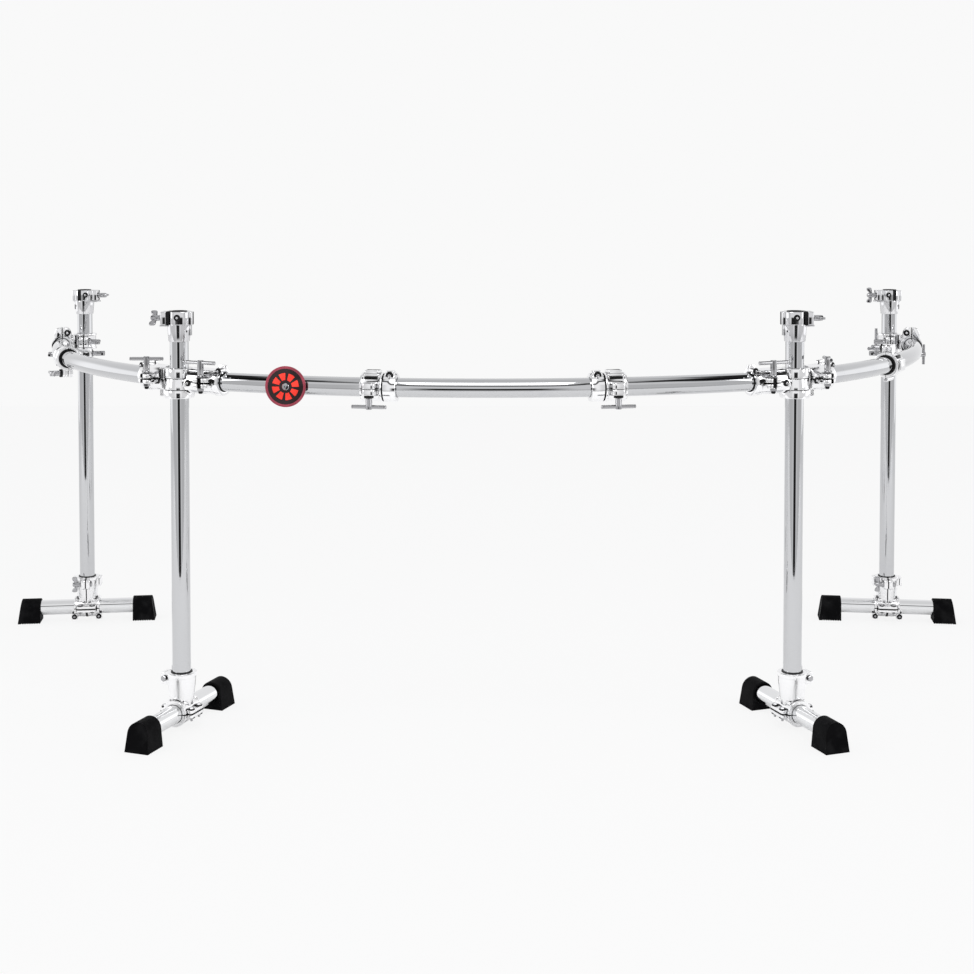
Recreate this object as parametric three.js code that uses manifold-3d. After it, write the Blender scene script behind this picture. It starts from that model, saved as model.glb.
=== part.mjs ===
import * as THREE from "three";
import { mergeVertices } from "three/addons/utils/BufferGeometryUtils.js";
import Module from "manifold-3d";

// Curved four-post drum rack. Three bent tubes at one height stand on four posts.
// Each post has a T-shaped leg at its foot and a socket collar on its top.
// Lengths are millimetres, +Z is up, the audience is on the -Y side.

// Driving dimensions
const tubeDiameter = 38.1;
const tubeWall = 2;
const seatGap = 0.3;
const cutOverrun = 4;
const frontPostSpacing = 1272;
const barHeight = 727;
const bendRadius = 1300;
const straightEnd = 115;
const barInset = 45;
const wingHeading = THREE.MathUtils.degToRad(44.3);
const wingReach = 990;
const wingRearStraight = 40;
const wingTail = 45;
const rearAxisSpacing = 52;
const postLength = 762;
const postFoot = 62;
const footTubeLength = 308;
const footAxisHeight = 36;
const frontLegTurn = THREE.MathUtils.degToRad(20);
const rearLegTurn = THREE.MathUtils.degToRad(7);
const innerClampLeft = -225;
const innerClampRight = 251;
const memoryLockLeft = -189.2;
const memoryLockRight = 215.2;
const badgePlace = -397;
const wingClampReachLeft = 600;
const wingClampReachRight = 425;
const frontLobeTurn = { left: Math.PI / 4, right: Math.PI / 2 };
const rearLobeTurn = { left: Math.PI / 2, right: 0 };
const wingHandleTurn = { left: wingHeading, right: Math.PI / 2 - wingHeading };
const rearHandleTurn = { left: Math.PI / 2, right: 0 };

// Facet counts
const tubeSides = 16;
const coreSides = 8;
const castSides = 16;
const boltSides = 8;
const handleSides = 6;
const cornerSteps = 1;
const archSteps = 6;
const badgeSides = 28;
const frontBarSteps = 20;
const wingBarSteps = 14;
const coreStepShare = 0.5;

const tubeRadius = tubeDiameter / 2;
const boreRadius = tubeRadius + seatGap;
const turningBore = (tubeRadius + seatGap / 2) / Math.cos(Math.PI / tubeSides);
const coreRadius = tubeRadius - tubeWall;
const postTop = postFoot + postLength;
const halfSpacing = frontPostSpacing / 2;
const frontSweep = Math.asin(halfSpacing / Math.hypot(straightEnd, bendRadius))
  - Math.atan2(straightEnd, bendRadius);
const frontSag = straightEnd * Math.sin(frontSweep) + bendRadius * (1 - Math.cos(frontSweep));

const wasm = await Module();
wasm.setup();

// Finishes
const chrome = { color: 0xd6d8db, roughness: 0.12, metalness: 1 };
const castChrome = { color: 0xe2e3e5, roughness: 0.16, metalness: 1 };
const rubber = { color: 0x141416, roughness: 0.85, metalness: 0 };
const badgeRed = { color: 0xe23c32, roughness: 0.35, metalness: 0 };

// Solids from three.js geometry
function solid(geometry) {
  const bare = geometry.clone();
  bare.deleteAttribute("normal");
  bare.deleteAttribute("uv");
  const merged = mergeVertices(bare);
  const corners = Array.from(merged.index.array);
  const triangles = [];
  for (let i = 0; i < corners.length; i += 3) {
    const [a, b, c] = corners.slice(i, i + 3);
    if (a !== b && b !== c && c !== a) triangles.push(a, b, c);
  }
  return new wasm.Manifold(new wasm.Mesh({
    numProp: 3,
    vertProperties: new Float32Array(merged.attributes.position.array),
    triVerts: new Uint32Array(triangles),
  }));
}

function ringShape(radius, sides) {
  const corners = Array.from({ length: sides }, (_, i) => {
    const angle = (2 * Math.PI * (i + 1 / 2)) / sides;
    return new THREE.Vector2(radius * Math.cos(angle), radius * Math.sin(angle));
  });
  return new THREE.Shape(corners);
}

function extruded(shape, low, high) {
  const geometry = new THREE.ExtrudeGeometry(shape, { depth: high - low, bevelEnabled: false });
  return geometry.translate(0, 0, low);
}

function rodZ(radius, low, high, x = 0, y = 0, sides = castSides) {
  return solid(extruded(ringShape(radius, sides), low, high).translate(x, y, 0));
}

function rodX(radius, low, high, y = 0, z = 0, sides = castSides) {
  return solid(extruded(ringShape(radius, sides), low, high).rotateY(Math.PI / 2).translate(0, y, z));
}

function rodY(radius, low, high, x = 0, z = 0, sides = castSides) {
  return solid(extruded(ringShape(radius, sides), -high, -low).rotateX(Math.PI / 2).translate(x, 0, z));
}

function block([x0, x1], [y0, y1], [z0, z1]) {
  const geometry = new THREE.BoxGeometry(Math.abs(x1 - x0), Math.abs(y1 - y0), Math.abs(z1 - z0));
  return solid(geometry.translate((x0 + x1) / 2, (y0 + y1) / 2, (z0 + z1) / 2));
}

function turned(profile, sides) {
  const points = profile.map(([radius, height]) => new THREE.Vector2(radius, height));
  return solid(new THREE.LatheGeometry(points, sides).rotateX(Math.PI / 2));
}

function piece(name, body, finish) {
  const { vertProperties, triVerts } = body.getMesh();
  const geometry = new THREE.BufferGeometry();
  geometry.setAttribute("position", new THREE.BufferAttribute(vertProperties, 3));
  geometry.setIndex(new THREE.BufferAttribute(triVerts, 1));
  geometry.computeVertexNormals();
  const mesh = new THREE.Mesh(geometry, new THREE.MeshStandardMaterial({ ...finish, flatShading: true }));
  mesh.name = name;
  return mesh;
}

function frame(parent, x, y, z, turn = 0) {
  const group = new THREE.Group();
  group.position.set(x, y, z);
  group.rotation.z = turn;
  parent.add(group);
  return group;
}

// Turns a bolt so that its stem points one way and its handle lies another
function aim(bolt, stemWay, handleWay) {
  const across = new THREE.Vector3().crossVectors(stemWay, handleWay);
  bolt.quaternion.setFromRotationMatrix(new THREE.Matrix4().makeBasis(handleWay, across, stemWay));
}

const axisX = new THREE.Vector3(1, 0, 0);
const axisY = new THREE.Vector3(0, 1, 0);
const axisZ = new THREE.Vector3(0, 0, 1);

// Bent tubes: straight end, round bend, straight end, as stations of a polyline path
class TubePath extends THREE.Curve {
  constructor(stations) {
    super();
    this.stations = stations;
  }

  getPoint(share, target = new THREE.Vector3()) {
    const place = share * (this.stations.length - 1);
    const index = Math.min(Math.floor(place), this.stations.length - 2);
    return target.lerpVectors(this.stations[index], this.stations[index + 1], place - index);
  }

  getPointAt(share, target) {
    return this.getPoint(share, target);
  }
}

// Local frame of a bar: origin on its first post's axis, +X along its straight end.
// bulge is +1 where the audience lies on +Y, and the bend turns away from it.
function barStations(bulge, bend, steps, nearInset, farStraight) {
  const stations = [new THREE.Vector3(nearInset, 0, 0)];
  for (let i = 0; i <= steps; i += 1) {
    const angle = (bend * i) / steps;
    const x = straightEnd + bendRadius * Math.sin(angle);
    const y = -bulge * bendRadius * (1 - Math.cos(angle));
    stations.push(new THREE.Vector3(x, y, 0));
  }
  const last = stations[stations.length - 1];
  const ahead = new THREE.Vector3(Math.cos(bend), -bulge * Math.sin(bend), 0);
  stations.push(last.clone().addScaledVector(ahead, farStraight));
  return stations;
}

function sweep(shape, stations) {
  const extrudePath = new TubePath(stations);
  return solid(new THREE.ExtrudeGeometry(shape, { steps: stations.length - 1, extrudePath }));
}

function bentTube(bulge, bend, steps, farStraight) {
  const outer = sweep(ringShape(tubeRadius, tubeSides), barStations(bulge, bend, steps, barInset, farStraight));
  const coreSteps = Math.round(steps * coreStepShare);
  const core = barStations(bulge, bend, coreSteps, barInset - cutOverrun, farStraight + cutOverrun);
  return outer.subtract(sweep(ringShape(coreRadius, coreSides), core));
}

// Place along the front bar, from its distance right of the middle
function frontBarPlace(x) {
  const turn = Math.asin(x / bendRadius);
  return { x, y: bendRadius * (1 - Math.cos(turn)) - frontSag, turn };
}

// Place along a wing, from its distance from the front post's axis; side is -1 left, +1 right
function wingPlace(side, reach) {
  const bent = Math.min(Math.max(reach - straightEnd, 0), wingReach - wingRearStraight - straightEnd);
  const heading = wingHeading + bent / bendRadius;
  const straight = Math.min(reach, straightEnd);
  const tail = Math.max(reach - straightEnd - bent, 0);
  const across = straight * Math.cos(wingHeading)
    + bendRadius * (Math.sin(heading) - Math.sin(wingHeading)) + tail * Math.cos(heading);
  const back = straight * Math.sin(wingHeading)
    + bendRadius * (Math.cos(wingHeading) - Math.cos(heading)) + tail * Math.sin(heading);
  const turn = side > 0 ? heading : Math.PI - heading;
  return { x: side * (halfSpacing + across), y: back, turn };
}

// Tee bolt: a stem with a flange at the seat and a round handle across it.
// It stands on z = 0, the face that it clamps, and its shank goes down from there.
const teeBolt = {
  shankRadius: 4,
  flangeRadius: 8,
  flangeHeight: 3,
  stemRadius: 6.5,
  handleRadius: 3.8,
  handleLength: 70,
  handleDrop: 5,
};
const shankHoleRadius = teeBolt.shankRadius + 2 * seatGap;

function makeTeeBolt(shankLength, stemLength) {
  const { shankRadius, flangeRadius, flangeHeight, stemRadius, handleRadius } = teeBolt;
  const stem = turned([
    [0, -shankLength],
    [shankRadius, -shankLength],
    [shankRadius, seatGap],
    [flangeRadius, seatGap],
    [stemRadius, seatGap + flangeHeight],
    [stemRadius, stemLength],
    [0, stemLength],
  ], boltSides);
  const reach = teeBolt.handleLength / 2;
  return stem.add(rodX(handleRadius, -reach, reach, 0, stemLength - teeBolt.handleDrop, handleSides));
}

// Wing bolt: the same stem with two flat lobes
const wingBolt = {
  shankRadius: 3.5,
  stemRadius: 6,
  stemLength: 24,
  lobeReach: 20,
  lobeRadius: 7,
  lobeThickness: 5,
};

function makeWingBolt(shankLength) {
  const { shankRadius, stemRadius, stemLength, lobeReach, lobeRadius, lobeThickness } = wingBolt;
  const stem = turned([
    [0, -shankLength],
    [shankRadius, -shankLength],
    [shankRadius, seatGap],
    [stemRadius, seatGap],
    [stemRadius, stemLength],
    [0, stemLength],
  ], boltSides);
  const lobe = new THREE.Shape();
  const lobeMiddle = lobeReach - lobeRadius;
  const lobeRise = stemLength - lobeRadius;
  lobe.moveTo(-stemRadius / 2, lobeRise - lobeRadius);
  lobe.lineTo(lobeMiddle, lobeRise - lobeRadius);
  lobe.absarc(lobeMiddle, lobeRise, lobeRadius, -Math.PI / 2, Math.PI / 2, false);
  lobe.lineTo(-stemRadius / 2, stemLength - lobeRadius);
  const options = { depth: lobeThickness, bevelEnabled: false, curveSegments: cornerSteps + 1 };
  const right = new THREE.ExtrudeGeometry(lobe, options);
  right.translate(0, 0, -lobeThickness / 2).rotateX(Math.PI / 2);
  const left = right.clone().rotateZ(Math.PI);
  return stem.add(solid(right)).add(solid(left));
}

// Tee clamp at a front post: a ring on the post, a neck and a split sleeve on the bar's end.
// The bar clamp has one band and the wing clamp a fork of two, which turn in each other.
// Frame: origin on the post's axis at bar height, +X along the bar, audience at bulge * Y.
const teeClamp = {
  bandRadius: 30,
  bandTop: 24,
  bandUpper: 4,
  bandLower: -20,
  bandBottom: -37.5,
  neckWidth: 34,
  sleeveStart: 34,
  sleeveEnd: 106,
  sleeveRadius: 27,
  rimRadius: 29.5,
  rimLength: 10,
  slot: 2.6,
  earWidth: 32,
  earReach: 47,
  earHeight: 20,
  earCorner: 8,
  boltReach: 36,
};
const frontEarPlace = 76.7;
const wingEarPlace = 66;
const teeStemLength = 36;

function earShape(width, base, reach, corner) {
  const half = width / 2;
  const shape = new THREE.Shape();
  shape.moveTo(-half, base);
  shape.lineTo(half, base);
  shape.lineTo(half, reach - corner);
  shape.absarc(half - corner, reach - corner, corner, 0, Math.PI / 2, false);
  shape.lineTo(corner - half, reach);
  shape.absarc(corner - half, reach - corner, corner, Math.PI / 2, Math.PI, false);
  return shape;
}

function ear(width, base, reach, corner, height) {
  const options = { depth: height, bevelEnabled: false, curveSegments: cornerSteps };
  return new THREE.ExtrudeGeometry(earShape(width, base, reach, corner), options).translate(0, 0, -height / 2);
}

function makeTeeClamp(bands, bulge, earPlace) {
  const t = teeClamp;
  const halfNeck = t.neckWidth / 2;
  let body = rodX(t.sleeveRadius, t.sleeveStart, t.sleeveEnd);
  body = body.add(rodX(t.rimRadius, t.sleeveEnd - t.rimLength, t.sleeveEnd));
  if (bands.length > 1) {
    const webStart = t.bandRadius + 2 * seatGap;
    body = body.add(block([webStart, t.sleeveStart + t.rimLength], [-halfNeck, halfNeck],
      [t.bandBottom, t.bandTop]));
  }
  for (const [low, high] of bands) {
    body = body.add(rodZ(t.bandRadius, low, high));
    body = body.add(block([boreRadius, t.sleeveStart + t.rimLength], [-halfNeck, halfNeck], [low, high]));
  }
  const earGeometry = ear(t.earWidth, coreRadius, t.earReach, t.earCorner, t.earHeight);
  if (bulge < 0) earGeometry.rotateZ(Math.PI);
  body = body.add(solid(earGeometry.translate(earPlace, 0, 0)));
  body = body.subtract(rodX(boreRadius, barInset - seatGap, t.sleeveEnd + cutOverrun, 0, 0, tubeSides));
  body = body.subtract(block([barInset - seatGap, t.sleeveEnd + cutOverrun],
    [0, bulge * (t.earReach + cutOverrun)], [-t.slot / 2, t.slot / 2]));
  body = body.subtract(rodZ(shankHoleRadius, -t.earHeight, t.earHeight, earPlace, bulge * t.boltReach, boltSides));
  const boreTop = t.bandTop + cutOverrun;
  return body.subtract(rodZ(turningBore, t.bandBottom - cutOverrun, boreTop, 0, 0, tubeSides));
}

// Rear clamp: a ring on the wing's tail and a ring on the rear post in one casting.
// Frame: origin on the bar's axis, +X along the bar, the post at inboard * Y.
const rearClamp = {
  barRingRadius: 29,
  barRingLength: 44,
  postRingRadius: 29,
  postRingLow: -12,
  postRingHigh: 28,
  webWidth: 40,
  earWidth: 28,
  earThickness: 22,
  earReach: 46,
  earCorner: 8,
  boltReach: 36,
  slot: 2.6,
  stemLength: 30,
};

function makeRearClamp(inboard) {
  const r = rearClamp;
  const halfLength = r.barRingLength / 2;
  const postY = inboard * rearAxisSpacing;
  const postMiddle = (r.postRingLow + r.postRingHigh) / 2;
  let body = rodX(r.barRingRadius, -halfLength, halfLength);
  body = body.add(rodZ(r.postRingRadius, r.postRingLow, r.postRingHigh, 0, postY));
  body = body.add(block([-r.webWidth / 2, r.webWidth / 2], [inboard * boreRadius, postY],
    [r.postRingLow, r.postRingHigh - cutOverrun]));
  const barEar = ear(r.earWidth, coreRadius, r.earReach, r.earCorner, r.earThickness);
  body = body.add(solid(barEar.rotateX(-Math.PI / 2)));
  const postEar = ear(r.earWidth, coreRadius, r.earReach, r.earCorner, r.earThickness);
  postEar.rotateX(-Math.PI / 2).rotateY(Math.PI / 2).translate(0, postY, postMiddle);
  body = body.add(solid(postEar));
  body = body.subtract(rodX(boreRadius, -halfLength - cutOverrun, halfLength + cutOverrun, 0, 0, tubeSides));
  body = body.subtract(rodZ(turningBore, r.postRingLow - cutOverrun, r.postRingHigh + cutOverrun, 0, postY,
    tubeSides));
  const halfSlot = r.slot / 2;
  body = body.subtract(block([-halfLength - cutOverrun, halfLength + cutOverrun], [-halfSlot, halfSlot],
    [-r.earReach - cutOverrun, 0]));
  body = body.subtract(block([-r.earReach - cutOverrun, 0], [postY - halfSlot, postY + halfSlot],
    [r.postRingLow - cutOverrun, r.postRingHigh + cutOverrun]));
  body = body.subtract(rodY(shankHoleRadius, -r.earThickness, r.earThickness, 0, -r.boltReach, boltSides));
  return body.subtract(rodY(shankHoleRadius, postY - r.earThickness, postY + r.earThickness,
    -r.boltReach, postMiddle, boltSides));
}

// Hinged clamp on a bar: an upper half with a boss and two ears, and a lower jaw on a hinge pin.
// Frame: origin on the bar's axis, +X along the bar, the ears at +Y, the tee bolt points to -Z.
const hingedClamp = {
  width: 44,
  outerRadius: 29,
  bushGap: 0.8,
  split: 0.8,
  bossWidth: 30,
  bossDepth: 26,
  bossTop: 34,
  earWidth: 26,
  earReach: 46,
  earCorner: 8,
  earHeight: 12,
  boltReach: 36,
  tipReach: 8,
  tipClearance: 1.2,
  pinReach: 33,
  pinRadius: 2.4,
  knuckleRadius: 5.6,
  knuckleLength: 15.4,
  stemLength: 28,
};

function makeClampShell() {
  const h = hingedClamp;
  const half = h.width / 2;
  const shell = rodX(h.outerRadius, -half, half);
  const ears = solid(ear(h.earWidth, coreRadius, h.earReach, h.earCorner, 2 * h.earHeight));
  return shell.add(ears);
}

function makeClampHalf(upper) {
  const h = hingedClamp;
  const half = h.width / 2;
  const sign = upper ? 1 : -1;
  const far = h.earReach + cutOverrun;
  const halfSpace = block([-half, half], [-far, far], [sign * (h.split / 2), sign * far]);
  let body = makeClampShell().intersect(halfSpace);
  if (upper) {
    const boss = block([-h.bossWidth / 2, h.bossWidth / 2], [-h.bossDepth / 2, h.bossDepth / 2],
      [boreRadius, h.bossTop]);
    body = body.add(boss);
  }
  const inner = h.knuckleLength / 2;
  const outerSpans = [[-half, -inner - seatGap], [inner + seatGap, half]];
  const ownSpans = upper ? outerSpans : [[-inner, inner]];
  const otherSpans = upper ? [[-inner - seatGap, inner + seatGap]] : outerSpans.map(([low, high]) => (
    [low < 0 ? low - cutOverrun : low - seatGap, low < 0 ? high + seatGap : high + cutOverrun]));
  const turningRadius = (h.knuckleRadius + seatGap / 2) / Math.cos(Math.PI / boltSides);
  for (const [low, high] of otherSpans) {
    body = body.subtract(rodX(turningRadius, low, high, -h.pinReach, 0, boltSides));
  }
  for (const [low, high] of ownSpans) {
    body = body.add(rodX(h.knuckleRadius, low, high, -h.pinReach, 0, boltSides));
  }
  body = body.subtract(rodX(tubeRadius + h.bushGap, -half - cutOverrun, half + cutOverrun, 0, 0, tubeSides));
  if (upper) {
    body = body.add(rodX(h.pinRadius, -half, half, -h.pinReach, 0, boltSides));
    const tipHole = teeBolt.shankRadius + h.tipClearance;
    return body.subtract(rodZ(tipHole, 0, h.tipReach + seatGap, 0, h.boltReach, boltSides));
  }
  const pinHole = h.pinRadius + seatGap;
  body = body.subtract(rodX(pinHole, -half, half, -h.pinReach, 0, boltSides));
  return body.subtract(rodZ(shankHoleRadius, -far, 0, 0, h.boltReach, boltSides));
}

// Memory lock: a split ring with a key lug, tight on the front bar beside a hinged clamp
const memoryLock = {
  width: 26,
  radius: 28.5,
  lugWidth: 20,
  lugReach: 34,
  lugHeight: 16,
  slot: 2.6,
};

function makeMemoryLock() {
  const m = memoryLock;
  const half = m.width / 2;
  const halfSlot = m.slot / 2;
  let ring = rodX(m.radius, -half, half);
  const lug = new THREE.BoxGeometry(m.lugWidth, m.lugHeight, m.lugReach - coreRadius);
  lug.translate(0, 0, (m.lugReach + coreRadius) / 2).rotateX(Math.PI / 4);
  ring = ring.add(solid(lug));
  const cut = new THREE.BoxGeometry(m.width + cutOverrun, m.slot, m.lugReach);
  cut.translate(0, 0, boreRadius + m.lugReach / 2).rotateX(Math.PI / 4);
  ring = ring.subtract(solid(cut));
  return ring.subtract(rodX(coreRadius + tubeWall / 2, -half - halfSlot, half + halfSlot, 0, 0, tubeSides));
}

// Socket collar on a post's top: a tapered sleeve, a block with a bore and a pinch plate.
// Frame: origin on the post's axis at the floor. The wing bolt points along -X,
// and the gap behind the plate is open at open * Y.
const collar = {
  grip: 18,
  sleeveLength: 35,
  blockLength: 27,
  bottomRadius: 21.4,
  topRadius: 24.5,
  blockRadius: 25.8,
  boreRadius: 12.7,
  plateOuter: 36,
  plateInner: 27,
  slot: 4,
  plateHalfWidth: 13,
  plateHinge: 5,
};
const collarBottom = postTop - collar.grip;
const blockBottom = collarBottom + collar.sleeveLength;
const collarTop = blockBottom + collar.blockLength;
const pinchHeight = (blockBottom + collarTop) / 2;

function makeCollar(open) {
  const c = collar;
  let body = turned([
    [0, collarBottom],
    [c.bottomRadius, collarBottom],
    [c.topRadius, blockBottom],
    [c.blockRadius, blockBottom],
    [c.blockRadius, collarTop],
    [0, collarTop],
  ], castSides);
  body = body.add(block([-c.plateOuter, -c.boreRadius], [-c.plateHalfWidth, c.plateHalfWidth],
    [blockBottom, collarTop]));
  const slotOuter = -c.plateInner;
  body = body.subtract(block([slotOuter, slotOuter + c.slot],
    [open * c.blockRadius, open * (c.plateHinge - c.plateHalfWidth)],
    [blockBottom - tubeWall, collarTop + cutOverrun]));
  body = body.subtract(rodZ(turningBore, collarBottom - cutOverrun, postTop + seatGap, 0, 0, tubeSides));
  const shank = wingBolt.shankRadius + 2 * seatGap;
  body = body.subtract(rodX(shank, -c.plateOuter - cutOverrun, -c.boreRadius, 0, pinchHeight, boltSides));
  return body.subtract(rodZ(c.boreRadius, postTop - cutOverrun, collarTop + cutOverrun, 0, 0, tubeSides));
}

// Leg clamp: an upright socket for the post over a sleeve for the foot tube.
// Frame: origin on the post's axis at the floor, +X along the foot tube, split ears at front * Y.
const legClamp = {
  socketRadius: 27,
  socketTop: 117,
  saddleRadius: 26,
  saddleLength: 64,
  flangeHalfWidth: 38,
  flangeLength: 50,
  flangeHeight: 16,
  slot: 2.4,
  earWidth: 26,
  earReach: 44,
  earCorner: 8,
  earThickness: 22,
  earDrop: 15,
  boltReach: 35,
};

function makeLegClamp(front) {
  const l = legClamp;
  const halfSaddle = l.saddleLength / 2;
  const halfFlange = l.flangeLength / 2;
  const halfSlot = l.slot / 2;
  const boltHeight = l.socketTop - l.earDrop;
  let body = rodZ(l.socketRadius, footAxisHeight, l.socketTop);
  body = body.add(rodX(l.saddleRadius, -halfSaddle, halfSaddle, 0, footAxisHeight));
  body = body.add(block([-halfFlange, halfFlange], [-l.flangeHalfWidth, l.flangeHalfWidth],
    [footAxisHeight - l.flangeHeight / 2, footAxisHeight + l.flangeHeight / 2]));
  const split = ear(l.earWidth, coreRadius, l.earReach, l.earCorner, l.earThickness);
  split.rotateY(Math.PI / 2);
  if (front < 0) split.rotateZ(Math.PI);
  body = body.add(solid(split.translate(0, 0, boltHeight)));
  body = body.subtract(rodZ(turningBore, postFoot - seatGap, l.socketTop + cutOverrun, 0, 0, tubeSides));
  body = body.subtract(rodX(boreRadius, -halfSaddle - cutOverrun, halfSaddle + cutOverrun, 0,
    footAxisHeight, tubeSides));
  body = body.subtract(block([-halfSlot, halfSlot], [0, front * (l.earReach + cutOverrun)],
    [postFoot - seatGap, l.socketTop + cutOverrun]));
  body = body.subtract(block([-halfSaddle - cutOverrun, halfSaddle + cutOverrun],
    [0, front * (l.flangeHalfWidth + cutOverrun)], [footAxisHeight - halfSlot, footAxisHeight + halfSlot]));
  return body.subtract(rodX(wingBolt.shankRadius + 2 * seatGap, -l.earThickness, l.earThickness,
    front * l.boltReach, boltHeight, boltSides));
}

// Rubber foot: an arched block with a sloping outer end and a socket for the tube.
// Frame: origin below the tube's end on the floor, +X outwards.
const rubberFoot = {
  baseWidth: 54,
  archRadius: 23.5,
  height: 60,
  socketDepth: 36,
  outerLength: 21,
  topSetback: 9,
};

function makeRubberFoot() {
  const f = rubberFoot;
  const archCentre = f.height - f.archRadius;
  const section = new THREE.Shape();
  section.moveTo(-f.baseWidth / 2, 0);
  section.lineTo(f.baseWidth / 2, 0);
  section.lineTo(f.archRadius, archCentre);
  section.absarc(0, archCentre, f.archRadius, 0, Math.PI, false);
  const options = { depth: f.socketDepth + f.outerLength, bevelEnabled: false, curveSegments: archSteps };
  const along = new THREE.ExtrudeGeometry(section, options).rotateX(Math.PI / 2).rotateZ(Math.PI / 2);
  let body = solid(along.translate(-f.socketDepth, 0, 0));
  const slope = new THREE.Shape();
  slope.moveTo(f.outerLength, 0);
  slope.lineTo(f.outerLength + f.height, 0);
  slope.lineTo(f.outerLength + f.height, f.height * 2);
  slope.lineTo(f.outerLength - 2 * f.topSetback, f.height * 2);
  const wedge = extruded(slope, -f.baseWidth, f.baseWidth).rotateX(Math.PI / 2);
  body = body.subtract(solid(wedge));
  return body.subtract(rodX(boreRadius, -f.socketDepth - cutOverrun, seatGap, 0, footAxisHeight, tubeSides));
}

// Badge: a round disc on a saddle ring that snaps round the front bar
const badge = {
  radius: 41,
  thickness: 6,
  standoff: 24,
  hubRadius: 7,
  hubRise: 1.5,
  clipRadius: 22.5,
  clipWidth: 20,
};

function makeBadge(turn) {
  const b = badge;
  const halfClip = b.clipWidth / 2;
  let body = rodY(b.radius, -b.standoff - b.thickness, -b.standoff, 0, 0, badgeSides);
  body = body.add(rodY(b.hubRadius, -b.standoff - b.thickness - b.hubRise, -b.standoff, 0, 0, boltSides));
  body = body.add(rodY(halfClip + b.thickness, -b.standoff, 0, 0, 0, boltSides));
  const clip = extruded(ringShape(b.clipRadius, castSides), -halfClip, halfClip);
  body = body.add(solid(clip.rotateY(Math.PI / 2).rotateZ(turn)));
  const reach = 2 * b.radius;
  const bore = extruded(ringShape(boreRadius + seatGap, tubeSides), -reach, reach);
  return body.subtract(solid(bore.rotateY(Math.PI / 2).rotateZ(turn)));
}

// Assembly
const rack = new THREE.Group();

const inner = new THREE.Group();
inner.position.set(-halfSpacing, 0, barHeight);
inner.rotation.z = -frontSweep;
const frontBend = 2 * frontSweep;
const frontTube = bentTube(-1, frontBend, frontBarSteps, straightEnd - barInset);
let frontBar = frontTube;
const toBarFrame = new THREE.Matrix4().makeRotationZ(frontSweep)
  .multiply(new THREE.Matrix4().makeTranslation(halfSpacing, 0, 0));
const lockMesh = makeMemoryLock().getMesh();
for (const x of [memoryLockLeft, memoryLockRight]) {
  const place = frontBarPlace(x);
  const ring = new THREE.BufferGeometry();
  ring.setAttribute("position", new THREE.BufferAttribute(new Float32Array(lockMesh.vertProperties), 3));
  ring.setIndex(new THREE.BufferAttribute(new Uint32Array(lockMesh.triVerts), 1));
  ring.rotateZ(place.turn).translate(place.x, place.y, 0).applyMatrix4(toBarFrame);
  frontBar = frontBar.add(solid(ring));
}
inner.add(piece("front_bar", frontBar, chrome));
rack.add(inner);

const badgeSpot = frontBarPlace(badgePlace);
const badgeFrame = frame(rack, badgeSpot.x, badgeSpot.y, barHeight);
badgeFrame.add(piece("badge", makeBadge(badgeSpot.turn), badgeRed));

const halfGap = seatGap / 2;
const middleBand = [[teeClamp.bandLower + halfGap, teeClamp.bandUpper - halfGap]];
const forkBands = [
  [teeClamp.bandUpper + halfGap, teeClamp.bandTop],
  [teeClamp.bandBottom, teeClamp.bandLower - halfGap],
];

function addTee(group, name, bands, bulge, earPlace, handleTurn) {
  group.add(piece(`${name}_clamp`, makeTeeClamp(bands, bulge, earPlace), castChrome));
  const bolt = piece(`${name}_tee_bolt`, makeTeeBolt(teeClamp.earHeight, teeStemLength), chrome);
  bolt.position.set(earPlace, bulge * teeClamp.boltReach, teeClamp.earHeight / 2);
  bolt.rotation.z = handleTurn;
  group.add(bolt);
}

function addHingedClamp(parent, name, place, earWay, boltWay) {
  const group = new THREE.Group();
  const ears = earWay.clone();
  const up = boltWay.clone().negate();
  const along = new THREE.Vector3().crossVectors(ears, up);
  const matrix = new THREE.Matrix4().makeBasis(along, ears, up);
  group.quaternion.setFromRotationMatrix(matrix);
  group.position.set(place.x, place.y, barHeight);
  parent.add(group);
  group.add(piece(`${name}_clamp`, makeClampHalf(true), castChrome));
  group.add(piece(`${name}_jaw`, makeClampHalf(false), castChrome));
  const shank = hingedClamp.earHeight + hingedClamp.tipReach;
  const bolt = piece(`${name}_tee_bolt`, makeTeeBolt(shank, hingedClamp.stemLength), chrome);
  bolt.position.set(0, hingedClamp.boltReach, -hingedClamp.earHeight);
  aim(bolt, axisZ.clone().negate(), axisX);
  group.add(bolt);
}

function addPost(name, x, y, boltWay, lobeTurn) {
  const tube = rodZ(tubeRadius, postFoot, postTop, 0, 0, tubeSides)
    .subtract(rodZ(coreRadius, postFoot - cutOverrun, postTop + cutOverrun, 0, 0, coreSides));
  const group = frame(rack, x, y, 0);
  group.add(piece(`${name}_post`, tube, chrome));
  const top = frame(group, 0, 0, 0, boltWay < 0 ? 0 : Math.PI);
  top.add(piece(`${name}_collar`, makeCollar(boltWay), castChrome));
  const shank = collar.plateOuter - collar.plateInner + collar.slot * 2;
  const bolt = piece(`${name}_collar_bolt`, makeWingBolt(shank), chrome);
  bolt.position.set(-collar.plateOuter, 0, pinchHeight);
  aim(bolt, axisX.clone().negate(), axisZ.clone().applyAxisAngle(axisX, lobeTurn));
  top.add(bolt);
}

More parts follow.
